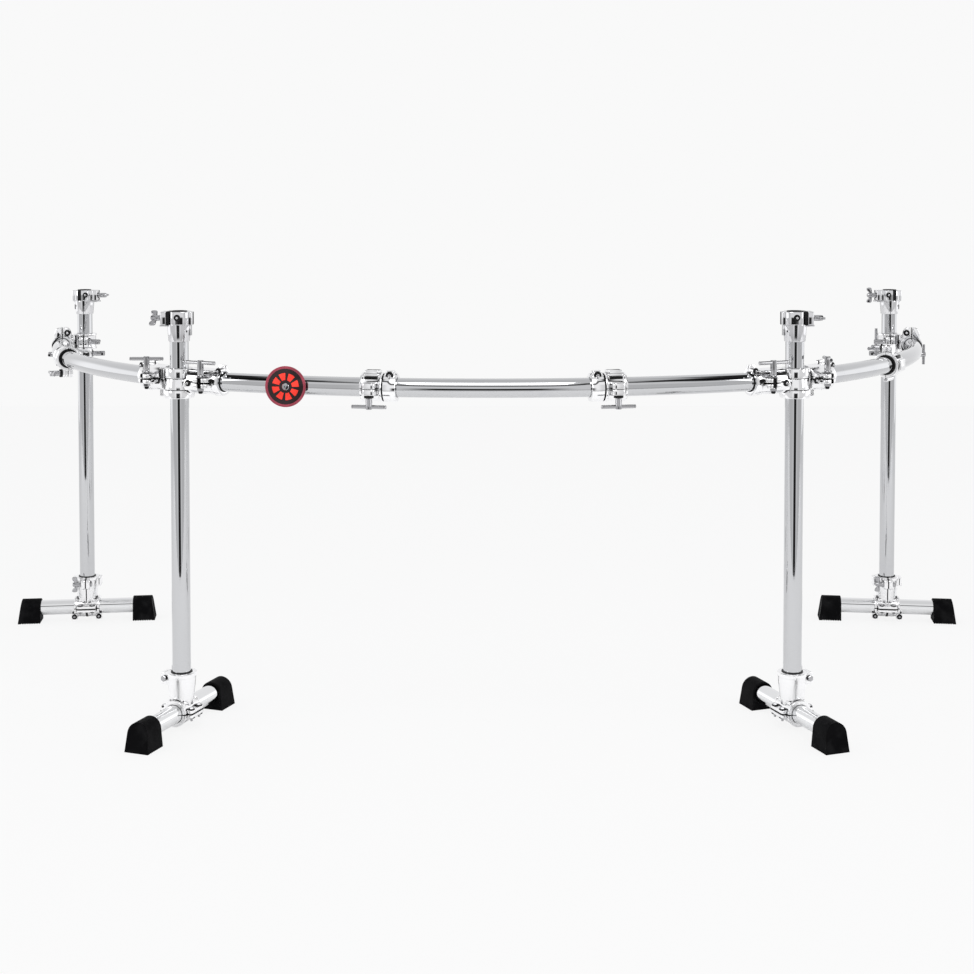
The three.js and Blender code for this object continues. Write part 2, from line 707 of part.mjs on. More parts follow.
function addLeg(name, x, y, turn, front, boltWay) {
  const group = frame(rack, x, y, 0, turn);
  group.add(piece(`${name}_leg_clamp`, makeLegClamp(front), castChrome));
  const halfTube = footTubeLength / 2;
  const tube = rodX(tubeRadius, -halfTube, halfTube, 0, footAxisHeight, tubeSides)
    .subtract(rodX(coreRadius, -halfTube - cutOverrun, halfTube + cutOverrun, 0, footAxisHeight, coreSides));
  group.add(piece(`${name}_foot_tube`, tube, chrome));
  for (const [end, way] of [["toe", 1], ["heel", -1]]) {
    const foot = piece(`${name}_${end}_foot`, makeRubberFoot(), rubber);
    foot.position.x = way * halfTube;
    foot.rotation.z = way > 0 ? 0 : Math.PI;
    group.add(foot);
  }
  const bolt = piece(`${name}_leg_bolt`, makeWingBolt(legClamp.earThickness - cutOverrun), chrome);
  bolt.position.set((boltWay * legClamp.earThickness) / 2, front * legClamp.boltReach,
    legClamp.socketTop - legClamp.earDrop);
  aim(bolt, axisX.clone().multiplyScalar(boltWay), axisZ);
  group.add(bolt);
}

for (const [sideName, side] of [["left", -1], ["right", 1]]) {
  const postX = side * halfSpacing;

  const barTurn = side < 0 ? -frontSweep : Math.PI + frontSweep;
  const barEnd = frame(rack, postX, 0, barHeight, barTurn);
  addTee(barEnd, `front_${sideName}_bar`, middleBand, side, frontEarPlace, 0);

  const wingTurn = side < 0 ? Math.PI - wingHeading : wingHeading;
  const wing = frame(rack, postX, 0, barHeight, wingTurn);
  const wingBend = (wingReach - wingRearStraight - straightEnd) / bendRadius;
  const tail = wingRearStraight + wingTail;
  wing.add(piece(`${sideName}_wing_bar`, bentTube(-side, wingBend, wingBarSteps, tail), chrome));
  addTee(wing, `front_${sideName}_wing`, forkBands, -side, wingEarPlace, wingHandleTurn[sideName]);

  const crossing = wingPlace(side, wingReach);
  const rear = frame(rack, crossing.x, crossing.y, barHeight, crossing.turn);
  rear.add(piece(`rear_${sideName}_clamp`, makeRearClamp(side), castChrome));
  const rearBolt = piece(`rear_${sideName}_tee_bolt`,
    makeTeeBolt(rearClamp.earThickness - cutOverrun, rearClamp.stemLength), chrome);
  const postMiddle = (rearClamp.postRingLow + rearClamp.postRingHigh) / 2;
  rearBolt.position.set(-rearClamp.boltReach, side * (rearAxisSpacing + rearClamp.earThickness / 2), postMiddle);
  const rearHandle = axisZ.clone().applyAxisAngle(axisY, rearHandleTurn[sideName]);
  aim(rearBolt, axisY.clone().multiplyScalar(side), rearHandle);
  rear.add(rearBolt);

  const inboard = new THREE.Vector3(0, side, 0).applyAxisAngle(axisZ, crossing.turn);
  const rearX = crossing.x + inboard.x * rearAxisSpacing;
  const rearY = crossing.y + inboard.y * rearAxisSpacing;

  addPost(`front_${sideName}`, postX, 0, side, frontLobeTurn[sideName]);
  addPost(`rear_${sideName}`, rearX, rearY, -side, rearLobeTurn[sideName]);

  const frontToe = side < 0 ? -Math.PI / 2 - frontLegTurn : frontLegTurn - Math.PI / 2;
  addLeg(`front_${sideName}`, postX, 0, frontToe, side, -1);
  const rearToe = side < 0 ? Math.PI + rearLegTurn : -rearLegTurn;
  addLeg(`rear_${sideName}`, rearX, rearY, rearToe, -side, -side);
}

const down = axisZ.clone().negate();
for (const [name, x] of [["front_left_inner", innerClampLeft], ["front_right_inner", innerClampRight]]) {
  const place = frontBarPlace(x);
  const audience = new THREE.Vector3(Math.sin(place.turn), -Math.cos(place.turn), 0);
  addHingedClamp(rack, name, place, audience, down);
}
const leftPlace = wingPlace(-1, wingClampReachLeft);
const leftOutboard = new THREE.Vector3(-Math.sin(leftPlace.turn), Math.cos(leftPlace.turn), 0);
addHingedClamp(rack, "left_wing_multi", leftPlace, down, leftOutboard);
const rightPlace = wingPlace(1, wingClampReachRight);
const rightInboard = new THREE.Vector3(-Math.sin(rightPlace.turn), Math.cos(rightPlace.turn), 0);
addHingedClamp(rack, "right_wing_multi", rightPlace, axisZ, rightInboard);

// The origin is below the middle of the whole rack, on the floor
rack.updateMatrixWorld(true);
const extent = new THREE.Box3().setFromObject(rack, true);
const middle = extent.getCenter(new THREE.Vector3());
rack.position.set(-middle.x, -middle.y, -extent.min.z);

const part = new THREE.Group();
part.add(rack);

export default part;
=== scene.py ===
import math

import bpy
import numpy as np
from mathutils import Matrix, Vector


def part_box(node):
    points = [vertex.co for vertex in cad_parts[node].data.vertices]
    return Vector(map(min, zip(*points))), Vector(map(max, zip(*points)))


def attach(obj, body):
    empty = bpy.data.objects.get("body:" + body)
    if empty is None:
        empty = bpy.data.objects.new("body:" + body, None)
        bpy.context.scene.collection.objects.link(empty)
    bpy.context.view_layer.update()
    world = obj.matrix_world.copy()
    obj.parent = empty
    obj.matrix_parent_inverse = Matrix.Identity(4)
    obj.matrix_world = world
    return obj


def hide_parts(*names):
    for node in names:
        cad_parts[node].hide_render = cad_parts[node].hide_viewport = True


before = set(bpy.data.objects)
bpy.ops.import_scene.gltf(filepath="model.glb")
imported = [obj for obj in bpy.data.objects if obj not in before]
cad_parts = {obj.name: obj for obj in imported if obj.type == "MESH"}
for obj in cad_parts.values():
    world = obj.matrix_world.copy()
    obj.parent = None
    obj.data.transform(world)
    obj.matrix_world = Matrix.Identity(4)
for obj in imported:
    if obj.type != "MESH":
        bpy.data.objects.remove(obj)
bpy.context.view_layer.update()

# The studio. A white sweep, three softboxes and dark flags, which give chrome its black lines.
# The flags and the grey walls are bands of the world, in degrees, that only reflections meet.


class Wire:
    """A shader socket in plain arithmetic: each operator adds one Math node."""

    def __init__(self, tree, socket):
        self.tree, self.socket = tree, socket

    def join(self, operation, left, right):
        """One Math node of two wires or numbers."""
        node = self.tree.nodes.new("ShaderNodeMath")
        node.operation = operation
        for slot, value in zip(node.inputs, (left, right)):
            if isinstance(value, Wire):
                self.tree.links.new(value.socket, slot)
            else:
                slot.default_value = value
        return Wire(self.tree, node.outputs[0])

    def __add__(self, other):
        return self.join("ADD", self, other)

    def __radd__(self, other):
        return self.join("ADD", other, self)

    def __sub__(self, other):
        return self.join("SUBTRACT", self, other)

    def __rsub__(self, other):
        return self.join("SUBTRACT", other, self)

    def __mul__(self, other):
        return self.join("MULTIPLY", self, other)

    def __rmul__(self, other):
        return self.join("MULTIPLY", other, self)


class Finish:
    """A node tree that is filled by add(), one call for each node that is not a sum."""

    def __init__(self, tree):
        self.tree = tree
        tree.nodes.clear()

    def add(self, kind, settings=None, sockets=None, out=0):
        """A node with its settings and its sockets' values or wires. Gives the output out."""
        node = self.tree.nodes.new(kind)
        for key, value in (settings or {}).items():
            setattr(node, key, value)
        for key, value in (sockets or {}).items():
            if isinstance(value, Wire):
                self.tree.links.new(value.socket, node.inputs[key])
            else:
                node.inputs[key].default_value = value
        return Wire(self.tree, node.outputs[out]) if len(node.outputs) else None

    def mix(self, share, below, above):
        """The colour below where share is 0 and above where it is 1."""
        return self.add("ShaderNodeMix", {"data_type": "RGBA"}, {"Factor": share, 6: below, 7: above}, out=2)

    def noise(self, place, scale, detail, roughness=0.5):
        """Cloudy noise from 0 to 1, with scale clouds to a metre."""
        return self.add("ShaderNodeTexNoise", {}, {
            "Vector": place, "Scale": scale, "Detail": detail, "Roughness": roughness})

    def step(self, value, low, high):
        """0 below low, 1 above high, a smooth rise between."""
        return self.add("ShaderNodeMapRange", {"interpolation_type": "SMOOTHSTEP"},
                        {"Value": value, "From Min": low, "From Max": high})

    def band(self, value, low, high, soft):
        """1 between low and high, 0 outside, with edges soft wide."""
        return self.step(value, low - soft, low + soft) * (1 - self.step(value, high - soft, high + soft))


world = bpy.data.worlds.new("studio")
bpy.context.scene.world = world
world.use_nodes = True
sky = Finish(world.node_tree)
direction = sky.add("ShaderNodeTexCoord", out="Generated")
across = sky.add("ShaderNodeSeparateXYZ", sockets={"Vector": direction}, out="X")
depth = sky.add("ShaderNodeSeparateXYZ", sockets={"Vector": direction}, out="Y")
height = sky.add("ShaderNodeSeparateXYZ", sockets={"Vector": direction}, out="Z")
elevation = sky.add("ShaderNodeMath", {"operation": "ARCSINE"}, {0: height}) * (180 / math.pi)
azimuth = sky.add("ShaderNodeMath", {"operation": "ARCTAN2"}, {0: across, 1: depth}) * (180 / math.pi)
# Azimuth 0 is behind the rack and 180 is where the audience and the camera are
folded = sky.add("ShaderNodeMath", {"operation": "ABSOLUTE"}, {0: azimuth})
side_wall = sky.band(folded, 48, 90, 8) * sky.band(elevation, -40, 18, 6)
wall = 0.92 - 0.15 * sky.band(elevation, 58, 120, 6) + 0.5 * side_wall
room = 0.22 * sky.band(folded, 98, 154, 5) * sky.band(elevation, -60, 24, 6)
sweep_edge = 0.2 * sky.band(folded, 120, 200, 10) * sky.band(elevation, -33, -15, 5)
line_height = 29 + 22 * sky.step(180 - folded, 14, 32)
upper_flag = sky.band(elevation - line_height, -5, 5, 2.5) * sky.step(folded, 90, 110)
camera_flag = sky.band(folded, 165, 200, 5) * sky.band(elevation, -21, -1, 2)
back_flag = sky.band(folded, -20, 12, 5) * sky.band(elevation, -16, 4, 2)
high_flag = sky.band(folded, 40, 128, 6) * sky.band(elevation, 36, 64, 4)
low_flags = (1 - 0.98 * camera_flag) * (1 - 0.9 * back_flag)
flags = low_flags * (1 - 0.97 * high_flag) * (1 - 0.95 * upper_flag)
grey = wall * (1 - room) * (1 - sweep_edge) * flags
tone = sky.add("ShaderNodeCombineXYZ", sockets={"X": grey, "Y": grey, "Z": grey * 1.01})
eye_rays = sky.add("ShaderNodeLightPath", out="Is Camera Ray")
diffuse_rays = sky.add("ShaderNodeLightPath", out="Is Diffuse Ray")
plain_light, backdrop = (1.0, 1.0, 1.01, 1), (0.947, 0.947, 0.947, 1)
seen = sky.mix(eye_rays, sky.mix(diffuse_rays, tone, plain_light), backdrop)
glow = sky.add("ShaderNodeBackground", sockets={"Color": seen, "Strength": 1.0})
sky.add("ShaderNodeOutputWorld", sockets={"Surface": glow})


def softbox(name, place, target, size, power):
    """A rectangular lamp at a place, turned to a target, in metres and watts."""
    lamp = bpy.data.lights.new(name, "AREA")
    lamp.shape = "RECTANGLE"
    lamp.size, lamp.size_y, lamp.energy = size[0], size[1], power
    obj = bpy.data.objects.new(name, lamp)
    bpy.context.scene.collection.objects.link(obj)
    obj.location = place
    obj.rotation_euler = (Vector(target) - Vector(place)).to_track_quat("-Z", "Y").to_euler()


softbox("overhead_box", (0, -1.75, 2.7), (0, -0.5, 0.73), (1.5, 1.0), 20)
softbox("left_box", (-3.4, -1.6, 1.7), (-0.6, 0, 0.6), (1.0, 2.2), 16)
softbox("right_box", (3.4, -1.6, 1.7), (0.6, 0, 0.6), (1.0, 2.2), 16)

# The camera as it was fitted to the photograph
pitch = math.radians(2.315)
eye = bpy.data.cameras.new("photo_camera")
eye.sensor_width = 36
eye.lens = 58.27
eye.shift_y = -0.2202
camera = bpy.data.objects.new("photo_camera", eye)
bpy.context.scene.collection.objects.link(camera)
camera.location = (0.0, -3.6079, 1.0796)
camera.rotation_euler = (math.pi / 2 - pitch, 0, 0)
bpy.context.scene.camera = camera
bpy.context.scene.view_settings.view_transform = "Standard"

# The floor is a plain pale sheet. The camera sees it as the same white as the wall, and it keeps
# only the soft shadow under the feet.
sheet = bpy.data.meshes.new("studio_floor")
reach, front_edge = 5.0, -1.75
corners = [(-reach, front_edge, 0), (reach, front_edge, 0), (reach, reach, 0), (-reach, reach, 0)]
sheet.from_pydata(corners, [], [(0, 1, 2, 3)])
studio_floor = bpy.data.objects.new("studio_floor", sheet)
bpy.context.scene.collection.objects.link(studio_floor)
paper = bpy.data.materials.new("pale_paper")
paper.use_nodes = True
coat = Finish(paper.node_tree)
matt = coat.add("ShaderNodeBsdfDiffuse", sockets={"Color": (0.86, 0.86, 0.86, 1)})
white = coat.add("ShaderNodeEmission", sockets={"Color": (0.945, 0.945, 0.945, 1), "Strength": 1.0})
seen_by_eye = coat.add("ShaderNodeLightPath", out="Is Camera Ray")
blend = coat.add("ShaderNodeMixShader", sockets={0: seen_by_eye * 0.9, 1: matt, 2: white})
coat.add("ShaderNodeOutputMaterial", sockets={"Surface": blend})
sheet.materials.append(paper)

# The bars and posts: drawn steel tube, 38.1 mm outside with a 2 mm wall, bent cold and chromed
# to a mirror. The bends are true circles between straight ends.
full_turn = 2 * math.pi
tube_radius = 19.05
tube_wall = 2.0
tube_edge = 0.5
straight_end = 115.0
bend_radius = 1300.0
bar_height = 727.0
bar_start = 45.0
post_low, post_high = 62.0, 824.0
wing_heading = math.radians(44.3)
wing_reach = 990.0
wing_tail = 45.0
straight_tail = 40.0
crease = math.radians(32)


def shell(grid, loop=False):
    """A closed surface from rows of points: each row is a ring of points that is joined to the
    next row, the last row to the first if loop, or else both end rows are closed by one face.
    The sum of the corners' triple products is the volume, and where that is negative every
    face is turned over, so that all of them point outwards."""
    rows, sides = grid.shape[:2]
    index = np.arange(rows * sides).reshape(rows, sides)
    here = index if loop else index[:-1]
    there = np.roll(index, -1, 0) if loop else index[1:]
    quads = np.stack([here, np.roll(here, -1, 1), np.roll(there, -1, 1), there], -1).reshape(-1, 4)
    points = grid.reshape(-1, 3)
    a, b, c, d = (points[quads[:, k]] for k in range(4))
    volume = (np.cross(a, b) * c).sum() + (np.cross(a, c) * d).sum()
    ends = [] if loop else [index[0][::-1], index[-1]]
    for end in ends:
        p = points[end]
        volume += (np.cross(p[0], p[1:-1]) * p[2:]).sum()
    faces = [tuple(face) for face in quads.tolist()] + [tuple(end.tolist()) for end in ends]
    if volume < 0:
        faces = [face[::-1] for face in faces]
    return points, faces


def turned(profile, sides=48, loop=False):
    """A profile of (radius, height) carried round the Z axis: (r cos a, r sin a, h)."""
    profile = np.asarray(profile, float)
    a = np.arange(sides) * (full_turn / sides)
    r, h = profile[:, :1], profile[:, 1:]
    grid = np.stack([r * np.cos(a), r * np.sin(a), h + 0 * a], -1)
    return shell(grid, loop)


def seat(x, y, z, turn=0.0):
    """Millimetres of a piece's own frame to metres of the rack's: turned about Z, then moved."""
    c, s = math.cos(turn) / 1000, math.sin(turn) / 1000
    return np.array([[c, -s, 0, x / 1000], [s, c, 0, y / 1000], [0, 0, 0.001, z / 1000]])


def piece(name, parts, at, finish, body, slot, *nodes):
    """Joins the parts of one piece in one mesh, at its place, on its body."""
    points, faces, count = [], [], 0
    for part_points, part_faces in parts:
        points.append(part_points)
        faces += [tuple(i + count for i in face) for face in part_faces]
        count += len(part_points)
    placed = np.concatenate(points) @ at[:, :3].T + at[:, 3]
    mesh = bpy.data.meshes.new(name)
    mesh.from_pydata(placed.tolist(), [], faces)
    mesh.shade_smooth()
    mesh.set_sharp_from_angle(angle=crease)
    mesh.materials.append(finish)
    obj = bpy.data.objects.new(name, mesh)
    bpy.context.scene.collection.objects.link(obj)
    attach(obj, body)
    if nodes:
        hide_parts(*nodes)


def chrome(name, tint, roughness, peel, grain, crevice):
    """Mirror plating: a little haze from handling, pinpoint pits and a faint ripple in the metal.
    Slots and seams as narrow as crevice, in metres, get painted shade: their colour is mixed to nearly
    black."""
    material = bpy.data.materials.new(name)
    material.use_nodes = True
    f = Finish(material.node_tree)
    place = f.add("ShaderNodeTexCoord", out="Object")
    haze = f.step(f.noise(place, 9.0, 5.0, 0.6), 0.52, 0.72)
    long = f.add("ShaderNodeMapping", {}, {"Vector": place, "Scale": grain})
    line = f.noise(long, 60.0, 3.0)
    pits = f.step(f.noise(place, 900.0, 2.0), 0.70, 0.78)
    dull = tint[0] * 0.86, tint[1] * 0.87, tint[2] * 0.9, 1
    colour = f.mix(0.35 * haze + 0.5 * pits, (*tint, 1), dull)
    # Painted shade: where ambient occlusion within crevice is low, the plating colour is mixed to nearly
    # black.
    painted_crevice_shade = f.add("ShaderNodeAmbientOcclusion", {"samples": 8}, {"Distance": crevice}, out=1)
    colour_with_painted_shade = f.mix(f.step(painted_crevice_shade, 0.3, 0.75), (0.02, 0.02, 0.021, 1), colour)
    swell = f.noise(place, 70.0, 1.0)
    relief = f.add("ShaderNodeBump", {}, {"Height": swell * 0.6 + line * 0.4 - pits * 0.5,
                                         "Strength": peel, "Distance": 0.001})
    skin = f.add("ShaderNodeBsdfPrincipled", {}, {
        "Base Color": colour_with_painted_shade, "Metallic": 1.0, "Roughness": roughness + 0.07 * haze + 0.05 * pits,
        "Normal": relief})
    f.add("ShaderNodeOutputMaterial", sockets={"Surface": skin})
    return material


tube_chrome = chrome("tube_chrome", (0.56, 0.565, 0.575), 0.035, 0.03, (1.0, 1.0, 1.0), 0.003)

posts = {}
for corner in ("front_left", "front_right", "rear_left", "rear_right"):
    low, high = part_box(f"{corner}_post")
    posts[corner] = 500 * (low.x + high.x), 500 * (low.y + high.y)
half_spacing = posts["front_right"][0]
corner_angle = math.atan2(straight_end, bend_radius)
front_sweep = math.asin(half_spacing / math.hypot(straight_end, bend_radius)) - corner_angle


def bar_line(start, heading, turn, bend, s):
    """Centre and heading of a bar at the distances s from its first post: a straight end, then a
    circle for the angle bend, then straight again. turn is 1 to the left and -1 to the right."""
    s = np.asarray(s, float)
    first = np.minimum(s, straight_end)
    bent = np.clip(s - straight_end, 0, bend * bend_radius)
    last = s - first - bent
    angle = heading + turn * bent / bend_radius
    x = start[0] + first * math.cos(heading) + turn * bend_radius * (np.sin(angle) - math.sin(heading))
    y = start[1] + first * math.sin(heading) - turn * bend_radius * (np.cos(angle) - math.cos(heading))
    return x + last * np.cos(angle), y + last * np.sin(angle), angle


def bar_place(line, s):
    """One place on a bar: its centre and the bar's heading there."""
    return [float(v) for v in bar_line(*line, s)]


wing_bend = (wing_reach - straight_tail - straight_end) / bend_radius
front_line = (posts["front_left"], -front_sweep, 1, 2 * front_sweep)
wing_lines = {
    "left": (posts["front_left"], math.pi - wing_heading, -1, wing_bend),
    "right": (posts["front_right"], wing_heading, 1, wing_bend),
}


def bar_tube(line, near, far, stations=120, sides=64):
    """A tube along a bar's line: the profile runs out along the outer wall and back along the
    inner one, and each of its points is a ring square to the line at that distance."""
    out = np.linspace(near + tube_edge, far - tube_edge, stations)
    core = tube_radius - tube_wall
    s = np.concatenate([out, [far, far], out[::-1], [near, near]])
    r = np.concatenate([0 * out + tube_radius, [tube_radius - tube_edge, core + tube_edge], 0 * out + core,
                        [core + tube_edge, tube_radius - tube_edge]])
    x, y, angle = (v[:, None] for v in bar_line(*line, s))
    a = np.arange(sides) * (full_turn / sides)
    aside, rise = r[:, None] * np.cos(a), r[:, None] * np.sin(a)
    grid = np.stack([x - aside * np.sin(angle), y + aside * np.cos(angle), bar_height + rise], -1)
    return shell(grid, loop=True)


def straight_tube(low, high, sides=64):
    """A tube along Z: an outer and an inner wall with broken edges."""
    core, edge = tube_radius - tube_wall, tube_edge
    return turned([(tube_radius, low + edge), (tube_radius, high - edge), (tube_radius - edge, high),
                   (core + edge, high), (core, high - edge), (core, low + edge), (core + edge, low),
                   (tube_radius - edge, low)], sides, loop=True)


whole = seat(0, 0, 0)
front_length = 2 * (straight_end + bend_radius * front_sweep)
bowed_tube = bar_tube(front_line, bar_start, front_length - bar_start)
piece("bowed_front_tube", [bowed_tube], whole, tube_chrome, "front_frame", "tube_chrome", "front_bar")
for side in ("left", "right"):
    tube = bar_tube(wing_lines[side], bar_start, wing_reach + wing_tail)
    piece(f"{side}_wing_tube", [tube], whole, tube_chrome, f"{side}_wing", "tube_chrome",
          f"{side}_wing_bar")
for corner, (x, y) in posts.items():
    piece(f"{corner}_upright_tube", [straight_tube(post_low, post_high)], seat(x, y, 0), tube_chrome,
          f"{corner}_upright", "tube_chrome", f"{corner}_post")

# Tee clamps: bright zinc castings. Two bars meet at each front post, and their rings lie in each
# other on it: one band for the front bar between the two bands of the wing's fork.
ring_bore = 19.4
pin_out = 36.0
bar_ear, wing_ear, tee_ear, lock_lug = 76.7, 66.0, 20.0, 16.0
lock_x, lock_rise, boss_aside, boss_out = 103.0, 23.5, 6.0, 20.4
cast_chrome = chrome("cast_chrome", (0.90, 0.90, 0.905), 0.06, 0.04, (1.0, 1.0, 1.0), 0.008)
key_chrome = chrome("key_chrome", (0.72, 0.72, 0.73), 0.12, 0.04, (1.0, 1.0, 1.0), 0.003)
bolt_chrome = chrome("bolt_chrome", (0.42, 0.42, 0.43), 0.09, 0.04, (1.0, 1.0, 6.0), 0.007)


def rounded(corners, cut, steps=4):
    """The outline with each corner replaced by a parabola from cut before it to cut after it:
    (1-t)^2 A + 2t(1-t) C + t^2 B."""
    corners = np.asarray(corners, float)
    back = np.roll(corners, 1, 0) - corners
    ahead = np.roll(corners, -1, 0) - corners
    cut = np.broadcast_to(cut, len(corners))[:, None]
    start = corners + back * np.minimum(cut / np.linalg.norm(back, axis=1)[:, None], 0.5)
    stop = corners + ahead * np.minimum(cut / np.linalg.norm(ahead, axis=1)[:, None], 0.5)
    t = np.linspace(0, 1, steps + 1)[None, :, None]
    arc = (1 - t) ** 2 * start[:, None] + 2 * t * (1 - t) * corners[:, None] + t ** 2 * stop[:, None]
    return arc.reshape(-1, 2)


def lay(part, axis):
    """Turns a part so that its Z axis lies along X or Y."""
    points, faces = part
    order = {"x": [2, 0, 1], "y": [1, 2, 0]}[axis]
    return points[:, order], faces


def move(part, x=0.0, y=0.0, z=0.0):
    """Shifts a part by x, y and z millimetres."""
    return part[0] + np.array([x, y, z]), part[1]


def swing(part, axis, angle):
    """Turns a part about an axis through the origin by Rodrigues' formula."""
    k = np.asarray(axis, float)
    c, s = math.cos(angle), math.sin(angle)
    p = part[0]
    return p * c + np.cross(k, p) * s + np.outer(p @ k, k) * (1 - c), part[1]


def moved(parts, x=0.0, y=0.0, z=0.0):
    """Shifts all parts of a list alike."""
    return [move(part, x, y, z) for part in parts]


def swung(parts, axis, angle):
    """Turns all parts of a list about one axis."""
    return [swing(part, axis, angle) for part in parts]


def arc_part(section, start=0.0, stop=full_turn, steps=48):
    """A closed section of (radius, height) carried round Z from one angle to another."""
    section = np.asarray(section, float)
    full = stop - start > full_turn - 1e-6
    a = np.linspace(start, stop, steps, endpoint=not full)[:, None]
    r, h = section[:, 0], section[:, 1]
    return shell(np.stack([r * np.cos(a), r * np.sin(a), h + 0 * a], -1), loop=full)


def split_ring(section, toward, slot, stop=full_turn):
    """A ring on the X axis whose gap, slot wide, starts at the angle toward, from +Y to +Z."""
    gap = math.asin(slot / 46)
    return lay(arc_part(section, toward + gap, toward + stop - gap, 56), "x")


def slab(outline, low, high, edge=1.2, steps=3):
    """A plate of that outline. Near both faces the outline is drawn in by e(1 - sin t) at the
    height e(1 - cos t) from the face, a quarter circle."""
    outline = np.asarray(outline, float)
    ahead = np.roll(outline, -1, 0)
    if (outline[:, 0] * ahead[:, 1] - ahead[:, 0] * outline[:, 1]).sum() < 0:
        outline = outline[::-1]
    along = np.roll(outline, -1, 0) - np.roll(outline, 1, 0)
    inward = np.stack([-along[:, 1], along[:, 0]], -1) / np.linalg.norm(along, axis=1)[:, None]
    t = np.linspace(0, math.pi / 2, steps + 1)
    inset = edge * (1 - np.sin(t))
    rise = edge * (1 - np.cos(t))
    inset = np.concatenate([inset, inset[::-1]])[:, None, None]
    level = np.concatenate([low + rise, (high - rise)[::-1]])[:, None, None]
    flat = outline + inset * inward
    return shell(np.concatenate([flat, level + 0 * flat[..., :1]], -1))


def brick(x, y, z, edge=1.2, cut=2.0):
    """A block between the limits x, y and z with rounded edges."""
    outline = rounded([(x[0], y[0]), (x[1], y[0]), (x[1], y[1]), (x[0], y[1])], cut)
    return slab(outline, z[0], z[1], edge)


def ear_pair(width, root, reach, corner, thickness, slot, notch=()):
    """Two plates with a slot between them: outlines in X and Y, thickness along Z. A notch between
    two places in X lets a bolt swing out at the plates' ends."""
    half = width / 2
    corners, cuts = [(-half, root), (half, root), (half, reach), (-half, reach)], [0.5, 0.5, corner, corner]
    if notch:
        near, far = notch
        corners[3:3] = [(far, reach), (far, reach - 16), (near, reach - 16), (near, reach)]
        cuts[3:3] = [1.2, 5, 5, 1.2]
    outline = rounded(corners, cuts, 8)
    return [slab(outline, slot / 2, thickness / 2), slab(outline, -thickness / 2, -slot / 2)]


def key_bolt(radius, share=0.64):
    """A screw for a drum key: a domed round head with a square post, in a washer of that radius,
    of which the head takes the given share."""
    head, rise = radius * share, radius * 0.45
    post = head * 0.45
    return [turned([(head, -1), (head, rise * 0.6), (head * 0.86, rise * 0.9), (head * 0.6, rise)], 28),
            brick((-post, post), (-post, post), (0, rise + radius * 0.7), 0.5, 0.8)]


def key_washer(radius):
    """The nylon washer under a key screw's head, dished towards the head."""
    return [turned([(radius, -1.2), (radius, 0.5), (radius - 0.5, 0.9), (radius * 0.7, 0.6), (1, 0.5)], 32)]


def screw_at(parts, way, x, y, z):
    """Turns parts from Z to the direction way, then moves them."""
    way = np.asarray(way, float) / np.linalg.norm(way)
    axis = np.cross([0, 0, 1], way)
    length = np.linalg.norm(axis)
    angle = math.atan2(length, way[2])
    axis = axis / length if length > 1e-9 else np.array([1.0, 0, 0])
    return moved(swung(parts, axis, angle), x, y, z)


def tee_parts(bands, bulge, ear_x, neck):
    """The casting of one tee clamp in its own frame: post on Z, bar on X, audience at bulge Y.
    bands are the heights of its rings on the post, and neck what joins them, if there are two."""
    parts = []
    for low, high in bands:
        top = 30 if len(bands) > 1 else 27.2
        outline = [(ring_bore, low), (30, low), (top, high), (ring_bore, high)]
        parts.append(arc_part(rounded(outline, [0.6, 1.8, 1.8, 0.6], 3)))
        parts.append(brick((22, 46), (-17, 17), (low + 0.3, high - 0.3), 1.5, 1.5))
    parts += neck
    section = rounded([(ring_bore, 34), (27, 34), (27, 94.6), (ring_bore, 94.6)], [0.5, 1.5, 1.5, 0.5], 3)
    toward = 0 if bulge > 0 else math.pi
    notch = (-1.5, 7.5) if bulge > 0 else (-7.5, 1.5)
    parts.append(split_ring(section, toward, 3.2))
    ears = ear_pair(32, 21, 47, 8, tee_ear, 3.2, notch)
    parts += moved(swung(ears, (0, 0, 1), toward), ear_x)
    boss = lay(turned([(6.5, 4), (7.4, 4), (7.4, 19.6), (6.9, boss_out), (1, boss_out)], 32), "y")
    parts.append(move(swing(boss, (0, 0, 1), toward), lock_x + boss_aside, 0, lock_rise))
    if bulge > 0 and neck:
        parts.append(brick((20, 38), (9, 25.8), (0.8, 22), 1.5, 3.0))
    if not neck:
        deep = sorted((bulge * 21, bulge * 44))
        parts += [brick((ear_x + 13, lock_x - 6), deep, sorted((way * 1.6, way * 10))) for way in (1, -1)]
    return parts + moved(lock_parts(math.pi / 2 + bulge * 0.2, 15, 35, 29.4), lock_x)


def lock_parts(toward, width=26.0, reach=34.0, radius=28.2):
    """A memory ring on X: split ring and lug plates at the angle toward, its slot between them."""
    half = width / 2
    section = rounded([(19.5, -half), (radius, -half), (radius, half), (19.5, half)], [0.5, 2, 2, 0.5], 3)
    lug = ear_pair(min(20, width - 1), 21, reach, 5, lock_lug, 2.6)
    return [split_ring(section, toward, 2.6)] + swung(lug, (1, 0, 0), toward)


def nut(radius, low, high):
    """A hexagon nut: six sides with the corners turned off at both faces."""
    return turned([(radius - 0.8, low), (radius, low + 0.8), (radius, high - 0.8), (radius - 0.8, high)], 6)


